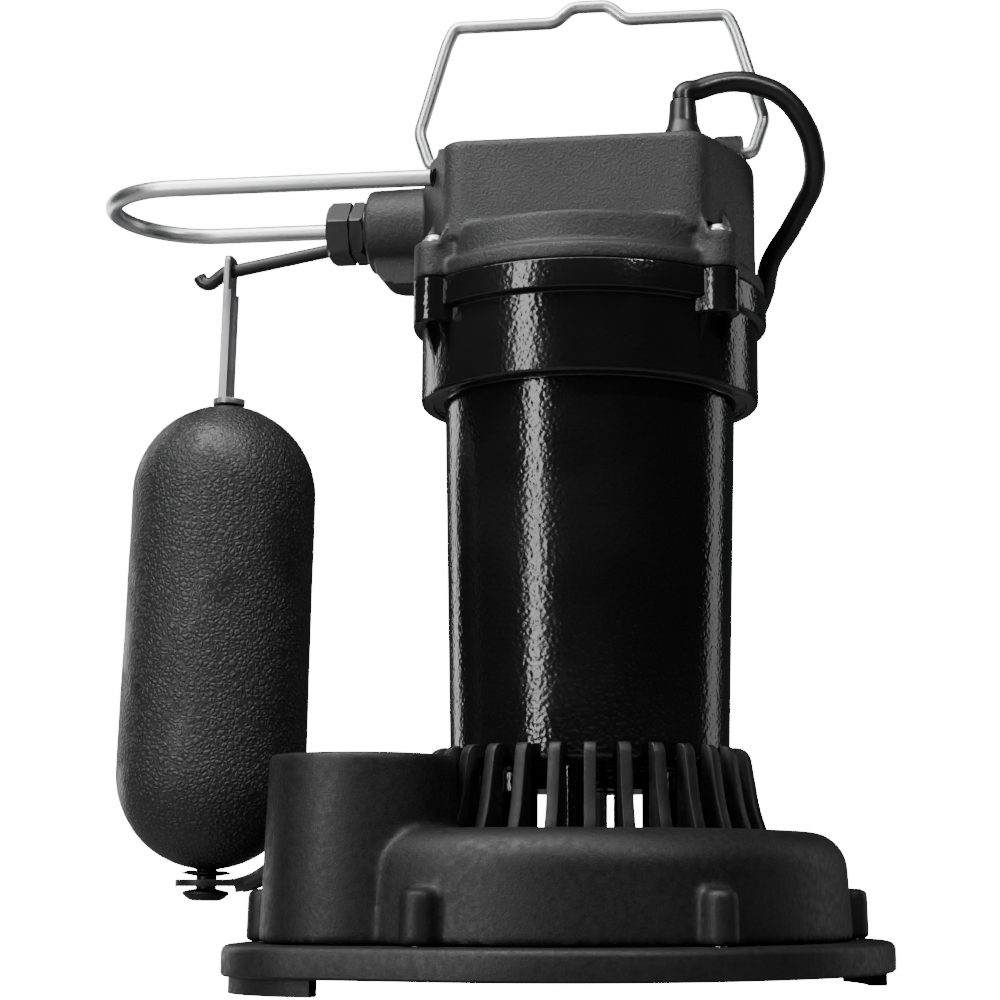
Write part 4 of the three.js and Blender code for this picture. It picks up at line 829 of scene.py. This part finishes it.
def run_tree(made, tree, values):
    """A tree run on an object, with its inputs by name, and its result as a plain mesh."""
    step = made.modifiers.new(tree.name, "NODES")
    step.node_group = tree
    for item in tree.interface.items_tree:
        if item.in_out == "INPUT" and item.name in values:
            step[item.identifier] = values[item.name]
    baked(made)
    for value in values.values():
        if isinstance(value, bpy.types.Object):
            bpy.data.objects.remove(value)
    return made


def rod_along(points, radius, material, sides=24):
    data = bpy.data.curves.new("path", "CURVE")
    data.dimensions = "3D"
    line = data.splines.new("POLY")
    line.points.add(len(points) - 1)
    for knot, point in zip(line.points, points):
        knot.co = (*point, 1)
    path = bpy.data.objects.new("path", data)
    bpy.context.scene.collection.objects.link(path)
    values = {"Path": path, "Radius": radius, "Sides": sides, "Material": material}
    return run_tree(solid("rod", [], []), round_rod, values)


def copies_at(piece, places, material):
    host = bpy.data.objects.new("places", bpy.data.meshes.new("places"))
    host.data.from_pydata(places, [], [])
    bpy.context.scene.collection.objects.link(host)
    return run_tree(host, point_copies, {"Piece": piece, "Material": material})


print("trees", round_copies.name, point_copies.name, round_rod.name)

# %% [markdown]
# ## Base plate and volute
#
# The base is a shallow tray on four pads. The volute above it is one moulding: a flat drum with a deep
# round shoulder, the upright boss of the discharge port, six screw bosses and the 30 fins of the strainer.

# %% Base plate
VOLUTE_CENTRE = (-5.6, -2.8)
VOLUTE_RADIUS = 94.3
DISCHARGE = (-67.1, -53)
BASE_RADIUS = 108.3
LOBE_RADIUS = 43.8
BASE_BOTTOM, BASE_TOP = 5.2, 15.1
FOOT_INSET, FOOT_WIDTH = 2.5, 6
SCREW_PLACES = [polar(96, a, VOLUTE_CENTRE) for a in (-111, -54.5, 13, 74, 134)]
SCREW_PLACES.append(polar(36, 163, DISCHARGE))


def base_outline(inset):
    return hull(circle_points(BASE_RADIUS - inset, 240, VOLUTE_CENTRE)
                + circle_points(LOBE_RADIUS - inset, 120, DISCHARGE))


def foot(centre, radius, start, end):
    outer = radius - FOOT_INSET
    angles = np.linspace(start, end, 24)
    outline = [polar(outer, a, centre) for a in angles]
    outline += [polar(outer - FOOT_WIDTH, a, centre) for a in angles[::-1]]
    return stacked("foot", lambda inset: outline, [(0, 0), (0, BASE_BOTTOM + 0.6)])


tray = stacked("tray", base_outline, [
    (0.8, BASE_BOTTOM), (0, BASE_BOTTOM + 0.8),
    (0, BASE_TOP - 2.4), (0.5, BASE_TOP - 1.1), (1.3, BASE_TOP - 0.35), (2.6, BASE_TOP),
])
worked(tray, [stacked("recess", base_outline, [(6, BASE_BOTTOM - 1), (6, BASE_TOP - 4)])], "DIFFERENCE")
feet = [foot(DISCHARGE, LOBE_RADIUS, 168, 262), foot(VOLUTE_CENTRE, BASE_RADIUS, 6, 26),
        foot(VOLUTE_CENTRE, BASE_RADIUS, 78, 102), foot(VOLUTE_CENTRE, BASE_RADIUS, 138, 160)]
pillars = [drum(7.2, BASE_BOTTOM, BASE_TOP - 0.6, 32, p) for p in SCREW_PLACES]
worked(tray, feet + pillars, "UNION")
worked(tray, [drum(4.5, BASE_BOTTOM - 1, BASE_TOP - 6, 24, p) for p in SCREW_PLACES]
       + [drum(2.4, BASE_BOTTOM - 1, BASE_TOP + 1, 16, p) for p in SCREW_PLACES], "DIFFERENCE")
done(tray, "base_tray", matt_plastic, "housing", ["base_plate"])

# %% Volute
VOLUTE_FLOOR, VOLUTE_TOP = 15.4, 50.9
DISCHARGE_TOP = 74.5
ARM_PIVOT = (-88.84, 64.0)

shoulder = 13
drum_profile = [(0, VOLUTE_FLOOR), (VOLUTE_RADIUS, VOLUTE_FLOOR)]
drum_profile += [
    (VOLUTE_RADIUS - 1.4 - shoulder + shoulder * math.cos(a), VOLUTE_TOP - shoulder + shoulder * math.sin(a))
    for a in np.linspace(0, math.pi / 2, 12)
]
drum_profile.append((0, VOLUTE_TOP))
volute = turned("volute", drum_profile, 160, VOLUTE_CENTRE)
port_profile = [
    (0, VOLUTE_FLOOR), (32, VOLUTE_FLOOR), (30, DISCHARGE_TOP - 1), (29.2, DISCHARGE_TOP), (0, DISCHARGE_TOP),
]
port = turned("port", port_profile, 96, DISCHARGE)
screw_boss = [(0, VOLUTE_FLOOR), (6, VOLUTE_FLOOR), (5.6, 30.6), (4.4, 32.2), (0, 32.2)]
lug_x, lug_z = ARM_PIVOT
lug_outline = [Vector(p) for p in (
    (lug_x - 4.3, lug_z), (lug_x - 4.3, 52.9), (lug_x + 2, 45.9), (lug_x + 16, 45.9), (lug_x + 4.3, lug_z),
)]
lug_eye = sawn("eye", circle_points(4.3, 32, ARM_PIVOT), -3.2, 3.2)
arm_lug = worked(sawn("lug", lug_outline, -3.2, 3.2), [lug_eye], "UNION")
worked(volute, [port, arm_lug] + [turned("boss", screw_boss, 40, p) for p in SCREW_PLACES], "UNION")
filled(volute, 1.35, 3)
leg_places = [polar(40, a) for a in (30, 150, 270)]
worked(volute, [
    drum(62, VOLUTE_FLOOR - 1, 42.4, 96), drum(25, VOLUTE_FLOOR - 1, VOLUTE_TOP + 2, 96),
    drum(21, VOLUTE_FLOOR + 4, DISCHARGE_TOP + 1, 96, DISCHARGE),
    drum(23.9, DISCHARGE_TOP - 26, DISCHARGE_TOP + 1, 96, DISCHARGE),
    sawn("pin_hole", circle_points(2.5, 24, ARM_PIVOT), -5, 5),
    *[drum(2.4, VOLUTE_FLOOR - 1, 27.2, 16, p) for p in SCREW_PLACES],
    *[drum(4.3, VOLUTE_FLOOR - 1, 45.4, 24, p) for p in leg_places],
    *[drum(2.2, VOLUTE_FLOOR - 1, VOLUTE_TOP + 1, 16, p) for p in leg_places],
], "DIFFERENCE")

# %% Strainer fins
FIN_COUNT = 30
fin_outline = bent([
    (50.6, 50.3), (60.8, 50.3), (58, 58.9), (55.2, 76.4), (53.4, 78.8), (50.6, 78.8),
], [0, 0, 6, 2, 2, 0.6], closed=True)
one_fin = beveled(sawn("fin", fin_outline, -2.05, 2.05), 0.7, 2)
fins = run_tree(solid("fins", [], []), round_copies,
                {"Piece": one_fin, "Count": FIN_COUNT, "Phase": 0.125, "Material": matt_plastic})
done(gathered(volute, fins), "volute_moulding", matt_plastic, "housing", ["volute"], 45)

# %% [markdown]
# ## Motor housing
#
# The barrel is turned exactly, so that its reflections run true, and only the ears and their gussets are
# added. Under each ear the screw's hole stays open between the two gussets.

# %% Motor housing
EAR_ANGLE = 38.3
EAR_CIRCLE = 62
EAR_RADIUS = 7
EARS = [EAR_ANGLE, 180 - EAR_ANGLE, 180 + EAR_ANGLE, -EAR_ANGLE]
PARTING = 236.6
EAR_BOTTOM, EAR_TOP = 221.3, 249.6

housing_profile = bent([
    (13.3, 64.7), (30, 64.7), (30, 71.4), (45.9, 71.4), (47.9, 73.9), (51, 200.1), (55.2, 200.1),
    (55.2, 198.9), (59.4, 198.9), (59.4, 226.2), (62.6, 226.8), (62.6, PARTING), (53.5, PARTING),
    (53.5, 202.9), (44, 202.9), (44, 77.9), (20, 77.9), (20, 87.3), (16.3, 87.3), (16.3, 77.9),
    (6.6, 77.9), (6.6, 74.4), (13.3, 74.4),
], [0, 0, 0.8, 1.2, 1.2, 1, 0.8, 0, 3.8, 0.8, 0.9, 0.7] + [0] * 11, closed=True)
housing = turned("housing", housing_profile, 192)


def ear_outline(inset, grow=3.5):
    return hull(circle_points(EAR_RADIUS + grow - inset, 40, (EAR_CIRCLE - 14, 0))
                + circle_points(EAR_RADIUS - inset, 64, (EAR_CIRCLE, 0)))


def round_shaft(make):
    """One of a solid at each ear."""
    return [moved(make(), Matrix.Rotation(math.radians(angle), 4, "Z")) for angle in EARS]


def housing_ear():
    levels = [(0.7, EAR_BOTTOM), (0, EAR_BOTTOM + 0.7), (0, PARTING - 0.5), (0.5, PARTING)]
    return stacked("ear", ear_outline, levels)


groove = [(55.5, PARTING - 2.4), (58.3, PARTING - 2.4), (58.3, PARTING + 1), (55.5, PARTING + 1)]
gusset = [Vector(p) for p in ((56.4, 221.9), (56.4, 209.8), (59, 210.6), (62.6, 221.9))]
housing_parts = round_shaft(housing_ear)
for hand in (-1, 1):
    housing_parts += round_shaft(lambda: sawn("gusset", gusset, hand * 5 - 1, hand * 5 + 1))
housing_parts += [drum(5, 51.2, 72, 32, p) for p in leg_places]
worked(housing, housing_parts, "UNION")
worked(housing, [
    drum(53.5, 202.9, PARTING + 1, 192),
    *[drum(2.2, 50, 65, 16, p) for p in leg_places],
    *round_shaft(lambda: drum(2.8, EAR_BOTTOM - 1, PARTING + 1, 32, (EAR_CIRCLE, 0))),
    turned("groove", groove, 96),
], "DIFFERENCE")
done(housing, "housing_casting", gloss_paint, "housing", ["motor_housing"], 28)

# %% [markdown]
# ## Cap
#
# The cap's lower skirt is round. Its upper body has a flat front panel between two rounded corners, so it
# is an outline stacked upward. The switch boss, the bail's lugs and the cord's seat are joined to it and
# the joints filled. Small webs stand between each ear and the body.

# %% Cap outline
CAP_RADIUS = 58.9
CAP_LEDGE, CAP_TOP = 254.5, 285.2
CAP_FRONT, CAP_CORNER, CAP_ROUND = 45, 43.7, 6
SWITCH_HEIGHT = 266.4
BAIL_HEIGHT = 290.6
GUARD_Z, GUARD_HALF = 276.7, 29.5
GLAND = (35.5, -20.3)
LEFT = Matrix.Translation((0, 0, SWITCH_HEIGHT)) @ Matrix.Rotation(math.radians(-90), 4, "Y")
ALONG_X = Matrix.Rotation(math.radians(90), 4, "Y")
BAIL_AXIS = Matrix.Translation((0, 0, BAIL_HEIGHT)) @ ALONG_X


def cap_outline(inset):
    """A circle with a flat front between two corners."""
    radius = CAP_RADIUS - inset
    corner = Vector((CAP_CORNER - inset, inset - CAP_FRONT))
    tangent = math.atan2(corner.y, corner.x) + math.acos(min(1, radius / corner.length))
    arc = [polar(radius, math.degrees(a)) for a in np.linspace(tangent, math.pi - tangent, 120)]
    left = Vector((-corner.x, corner.y))
    rounding = [0] * len(arc) + [max(CAP_ROUND - inset, 1)] * 2
    return bent([*arc, left, corner], rounding, closed=True, steps=8)


# %% Cap casting
skirt = turned("skirt", bent([
    (0, PARTING + 0.3), (61.9, PARTING + 0.3), (61.9, 242.7), (59.2, 243.2), (CAP_RADIUS, CAP_LEDGE),
    (0, CAP_LEDGE),
], [0, 0.6, 1.4, 0, 1.6, 0]), 160)
crown = stacked("crown", cap_outline, [
    (0, CAP_LEDGE - 4), (0, CAP_TOP - 2.6), (0.35, CAP_TOP - 1.3), (1.1, CAP_TOP - 0.4), (2.4, CAP_TOP),
])
boss = moved(turned("boss", bent([(0, 45), (16, 45), (15.2, 79.8), (0, 79.8)], [0, 0, 2, 0]), 96), LEFT)
pocket_outline = bent([(-45, 266), (-45, 242.6), (-72.6, 245), (-76.6, 249), (-76.6, 266)], [0, 0, 3, 3, 0])
pocket = sawn("pocket", pocket_outline, -9, 9)


def bail_lug(hand):
    lug = moved(drum(6.6, 45, 55.3, 64), BAIL_AXIS)
    lug = worked(lug, [block((45, -6.6, CAP_TOP - 3), (55.3, 6.6, BAIL_HEIGHT))], "UNION")
    return lug if hand > 0 else moved(lug, Matrix.Rotation(math.pi, 4, "Z"))


def cap_ear():
    levels = [(0.4, PARTING + 0.3), (0, PARTING + 0.8), (0, EAR_TOP - 1), (1, EAR_TOP)]
    return stacked("ear", ear_outline, levels)


web = [Vector(p) for p in ((56, EAR_TOP - 2), (65, EAR_TOP - 2), (58.2, 262), (56, 262))]
gland_seat = drum(9, CAP_TOP - 1, CAP_TOP + 1.2, 48, GLAND)
cap_parts = [crown, boss, pocket, bail_lug(1), bail_lug(-1), gland_seat]
cap_parts += round_shaft(cap_ear)
for hand in (-1, 1):
    cap_parts += round_shaft(lambda: sawn("web", web, hand * 6.6 - 0.9, hand * 6.6 + 0.9))
cap = filled(worked(skirt, cap_parts, "UNION"), 0.9, 3)
worked(cap, [
    drum(55.1, PARTING - 1, CAP_LEDGE - 3, 128),
    stacked("space", cap_outline, [(3.8, CAP_LEDGE - 3.4), (3.8, CAP_TOP - 4)]),
    moved(drum(11, 38, 82, 64), LEFT),
    moved(drum(2.7, -60, 60, 32), BAIL_AXIS),
    *[moved(drum(3.3, 44, 68, 32), Matrix.Translation((0, y, GUARD_Z - SWITCH_HEIGHT)) @ LEFT)
      for y in (-GUARD_HALF, GUARD_HALF)],
    drum(5.4, CAP_TOP - 5, CAP_TOP + 3, 32, GLAND),
    *round_shaft(lambda: drum(2.8, PARTING - 1, EAR_TOP + 1, 32, (EAR_CIRCLE, 0))),
    *round_shaft(lambda: drum(4.8, EAR_TOP - 0.1, EAR_TOP + 4.2, 48, (EAR_CIRCLE, 0))),
], "DIFFERENCE")
done(cap, "cap_casting", satin_paint, "housing", ["cap"], 40)

# %% Cap screws and the cord's gland
screw_profile = bent([
    (0, 222.6), (2.5, 222.6), (2.5, EAR_TOP + 0.05), (4.4, EAR_TOP + 0.05), (4.4, EAR_TOP + 1.1),
    (3.6, EAR_TOP + 1.3), (3.1, EAR_TOP + 2.9), (0, EAR_TOP + 3.2),
], [0, 0, 0, 0.2, 0.5, 0.2, 1.4, 0])
places = [(*polar(EAR_CIRCLE, angle), 0) for angle in EARS]
cap_screws = copies_at(turned("screw", screw_profile, 48), places, stainless)
screw_nodes = [f"cap_screw_{i}" for i in (1, 2, 3, 4)]
done(cap_screws, "cap_screw_set", stainless, "housing", screw_nodes)

gland_low = CAP_TOP + 1.5
gland_profile = bent([
    (4.1, gland_low), (7.2, gland_low), (7.2, gland_low + 3.4), (6.2, gland_low + 6.4),
    (5.3, gland_low + 8.6), (4.6, 303.6), (4.1, 303.6),
], [0, 0.5, 1.2, 0.8, 0.8, 0.2, 0], closed=True)
gland = turned("gland", gland_profile, 64, GLAND)
done(gland, "gland_sleeve", cord_jacket, "housing", ["cord_gland"])

# %% Gland nut
NUT_CORNER = 10 / math.cos(math.radians(30))
hexagon = [polar(NUT_CORNER, 60 * i + 37.7) for i in range(6)]
nut = stacked("nut", lambda inset: hexagon, [(0, 81.3), (0, 94.7)])
bound = [(0, 81), (10.6, 81), (NUT_CORNER, 82.2), (NUT_CORNER, 93.3), (10.2, 94.7), (0, 94.7)]
worked(nut, [turned("bound", bound, 96)], "INTERSECT")
worked(nut, [drum(9.8, 69, 82, 64)], "UNION")
worked(nut, [turned("bore", [(0, 68), (5.6, 68), (5.6, 71), (9.1, 94.8), (0, 94.8)], 64),
             turned("mark", [(9.4, 85.6), (14, 85.4), (14, 86.6), (9.4, 86.4)], 64)], "DIFFERENCE")
nut = moved(beveled(nut, 0.35), LEFT)
done(nut, "nut_body", black_steel, "housing", ["gland_nut"], 30)

# %% [markdown]
# ## Guard, bail and lever
#
# All three are bent from round stock, so each is a path with rounded corners and the rod tree makes it.
# Every piece of rod rides on its own body: the bail on its hinge, and the lever on the switch's pin.

# %% Guard and bail
guard_path = [Vector((-52, -GUARD_HALF, GUARD_Z))]
guard_path += [Vector((-146.2 - GUARD_HALF * math.sin(a), -GUARD_HALF * math.cos(a), GUARD_Z))
               for a in np.linspace(0, math.pi, 40)]
guard_path.append(Vector((-52, GUARD_HALF, GUARD_Z)))
guard = rod_along(guard_path, 3, stainless, 32)
done(guard, "guard_rod", stainless, "housing", ["float_guard"], 60)

half_bail = [
    (46, BAIL_HEIGHT), (58.6, BAIL_HEIGHT), (62.8, 303.2), (52.9, 336.8), (49.9, 343.4), (13, 343.4),
    (6.6, 349),
]
corners = [(x, 0, z) for x, z in half_bail] + [(-x, 0, z) for x, z in half_bail[::-1]]
bail = rod_along(bent(corners, 2.6, steps=8), 2.3, stainless, 28)
done(bail, "bail_rod", stainless, "bail", ["bail_handle"], 60)

# %% Lever
PIVOT_X, REACH = -62.5, 131.8
SLOPE = math.radians(10.2)


def lever_height(x):
    return SWITCH_HEIGHT + (x - PIVOT_X) * math.tan(SLOPE)


hook_z = lever_height(-REACH)
lever_corners = [(PIVOT_X + 14, 0, lever_height(PIVOT_X + 14)), (-REACH, 0, hook_z)]
lever_corners += [(-REACH - dx, 0, hook_z + dz)
                  for dx, dz in ((2.4, 0), (5, -2.2), (8, -4.5), (10.8, -4), (12.2, -1.6))]
lever = rod_along(bent(lever_corners, 2.2), 2.45, black_steel, 28)
hub = sawn("hub", circle_points(4.6, 48, (PIVOT_X, SWITCH_HEIGHT)), -4, 4)
worked(lever, [hub], "UNION")
worked(lever, [sawn("hole", circle_points(2.3, 32, (PIVOT_X, SWITCH_HEIGHT)), -6, 6)], "DIFFERENCE")
done(lever, "lever_rod", black_steel, "lever", ["lever"], 45)

# %% [markdown]
# ## Float
#
# The float hangs from the lever a little out of plumb, so it's built upright in its own frame and then
# leaned. Blow-moulded walls are never quite true, and a slight displacement gives it soft hollows.

# %% Float frame and shell
FLOAT_LEAN = math.radians(1.1)
STRAP_OFFSET = 1.2
FLOAT_X = -REACH + STRAP_OFFSET
FLOAT_FRAME = Matrix.Translation((FLOAT_X, 0, hook_z)) @ Matrix.Rotation(FLOAT_LEAN, 4, "Y")


def local(height):
    return (height - hook_z) / math.cos(FLOAT_LEAN)


float_low, float_high = local(38.6), local(203.3)
LOW_RADIUS, HIGH_RADIUS = 33.1, 32.5
shell_profile = [(3.8, float_low)]
shell_profile += [(LOW_RADIUS * math.cos(a), float_low + LOW_RADIUS + LOW_RADIUS * math.sin(a))
                  for a in np.radians(np.linspace(-82, 0, 26))]
middle = float_low + LOW_RADIUS, float_high - HIGH_RADIUS
shell_profile += [(LOW_RADIUS + (HIGH_RADIUS - LOW_RADIUS) * t, middle[0] + (middle[1] - middle[0]) * t)
                  for t in np.linspace(0.04, 0.96, 24)]
shell_profile += [(HIGH_RADIUS * math.cos(a), middle[1] + HIGH_RADIUS * math.sin(a))
                  for a in np.radians(np.linspace(0, 82, 26))]
shell_profile.append((3.8, float_high))
shell = turned("shell", shell_profile, 144)
for vertex in shell.data.vertices:
    out = Vector((vertex.co.x, vertex.co.y, 0))
    if out.length > 12:
        sway = noise.noise(vertex.co * 0.045) * 0.32 + noise.noise(vertex.co * 0.16) * 0.08
        vertex.co += out.normalized() * (sway - 0.18)
done(moved(shell, FLOAT_FRAME), "float_body", float_skin, "float", ["float_shell"], 60)

# %% Hanger, rod, collar and button
tab_back = -STRAP_OFFSET - 1.5
tab_low = float_high + 0.7
strap_corners = [(-5.25, tab_low), (5.25, tab_low), (5.25, 5.4), (-5.25, 5.4)]
strap_outline = bent(strap_corners, [0, 0, 3, 3], closed=True)
UPRIGHT = Matrix(((0, 0, 1, 0), (1, 0, 0, 0), (0, 1, 0, 0), (0, 0, 0, 1)))
strap = stacked("strap", lambda inset: strap_outline, [(0, tab_back), (0, tab_back + 2)])
strap = moved(strap, UPRIGHT)
flanges = [block((tab_back, y, tab_low), (tab_back + 3, y + 1.2, -8)) for y in (-5.25, 4.05)]
worked(strap, [*flanges, drum(5.7, tab_low, tab_low + 2, 48)], "UNION")
eye = moved(drum(3.45, -10, 10, 32), Matrix.Translation((-STRAP_OFFSET, 0, 0)) @ ALONG_X)
strap = moved(beveled(worked(strap, [eye], "DIFFERENCE"), 0.35), FLOAT_FRAME)
done(strap, "hanger_strap", strap_steel, "float", ["float_hanger"], 30)

ARM_LEVEL, ARM_WEB = 32.9, 2.4
rod_low = local(ARM_LEVEL) - 3
rod_corners = [(0, rod_low), (3.5, rod_low), (3.5, float_high + 0.3), (0, float_high + 0.3)]
float_rod = turned("rod", bent(rod_corners, [0, 0.6, 0.3, 0]), 48)
done(moved(float_rod, FLOAT_FRAME), "rod_body", black_steel, "float", ["float_rod"])

collar_low, collar_high = local(ARM_LEVEL + ARM_WEB) + 1.1, float_low - 0.3
collar = turned("collar", bent([
    (3.8, collar_low), (8.6, collar_low + 0.8), (8.6, collar_low + 1.1),
    (6.4, collar_high), (3.8, collar_high),
], [0, 0.3, 0.3, 0.4, 0], closed=True), 64)
done(moved(collar, FLOAT_FRAME), "collar_ring", matt_plastic, "float", ["float_collar"])

button_top = local(ARM_LEVEL) - 0.8
button_low = button_top - 4.2
button = turned("button", bent([
    (0, button_low), (5.4, button_low), (8, button_low + 2.2), (8, button_top - 1), (3.8, button_top),
    (3.8, rod_low - 0.3), (0, rod_low - 0.3),
], [0, 2, 1.4, 0.3, 0, 0, 0]), 64)
done(moved(button, FLOAT_FRAME), "button_head", matt_plastic, "float", ["float_button"])

# %% Float arm
BEND_X, BEND_RADIUS, BEND_TURN = -127, 24, math.radians(60)
rod_x = FLOAT_X - (hook_z - ARM_LEVEL - ARM_WEB / 2) * math.tan(FLOAT_LEAN)
arm_end = (ARM_PIVOT[0] - 5.5 * math.sin(BEND_TURN), ARM_PIVOT[1] + 5.5 * math.cos(BEND_TURN))


def arm_strip(inner, outer, start):
    """A strip beside the arm's line, between two distances outward from it."""
    line = [(start, ARM_LEVEL, 0.0)] if start < BEND_X else []
    line += [(BEND_X + BEND_RADIUS * math.sin(t), ARM_LEVEL + BEND_RADIUS * (1 - math.cos(t)), t)
             for t in np.linspace(0, BEND_TURN, 14)]
    line.append((*arm_end, BEND_TURN))
    kept = [point for point in line if point[0] >= start]
    near_edge, far_edge = ([Vector((x - far * math.sin(t), z + far * math.cos(t))) for x, z, t in kept]
                           for far in (inner, outer))
    return near_edge + far_edge[::-1]


arm = sawn("arm", arm_strip(0, ARM_WEB, rod_x + 4), -5.25, 5.25)
tongue_outline = hull(circle_points(10.66, 64, (rod_x, 0)) + circle_points(5.25, 32, (rod_x + 14, 0)))
tongue_levels = [(0, ARM_LEVEL), (0, ARM_LEVEL + ARM_WEB)]
arm_parts = [stacked("tongue", lambda inset: tongue_outline, tongue_levels)]
for near in (-5.25, 3.85):
    arm_parts.append(sawn("flange", arm_strip(-2.5, ARM_WEB, rod_x + 11), near, near + 1.4))
    arm_parts.append(sawn("eye", circle_points(5.9, 48, ARM_PIVOT), near, near + 1.4))
worked(arm, arm_parts, "UNION")
worked(arm, [drum(5.3, ARM_LEVEL - 1, ARM_LEVEL + ARM_WEB + 1, 48, (rod_x, 0)),
             sawn("hole", circle_points(2.5, 32, ARM_PIVOT), -7, 7)], "DIFFERENCE")
done(beveled(arm, 0.3), "arm_body", matt_plastic, "arm", ["float_arm"], 30)

# %% [markdown]
# ## What is inside and underneath
#
# The motor, the impeller, the switch and the small screws keep the plain shapes of the model. They only
# show when the pump is opened, and each one gets its finish.

# %% Finishes for the rest
INNER = {
    "rubber": ["cap_gasket", "shaft_seal", "lever_boot", "coil_tie"],
    "plain_steel": [f"base_screw_{i}" for i in range(1, 7)] + [f"leg_screw_{i}" for i in range(1, 4)],
    "bearing_steel": ["shaft", "lower_bearing", "upper_bearing"],
    "lamination": ["rotor_core", "stator_core"],
    "copper_wire": ["winding_upper", "winding_lower"],
    "satin_paint": ["bearing_bracket"],
    "light_plastic": ["impeller", "capacitor", "switch_plunger"],
    "brass": ["impeller_nut", "plug_blade_1", "plug_blade_2", "plug_ground_pin"],
    "matt_plastic": ["switch_body"],
    "stainless": ["lever_pin", "arm_pin"],
    "cord_jacket": ["plug_body"],
}
for material_name, names in INNER.items():
    for name in names:
        nodes[name].data.materials.clear()
        nodes[name].data.materials.append(bpy.data.materials[material_name])
print("left as modelled", sum(len(names) for names in INNER.values()))
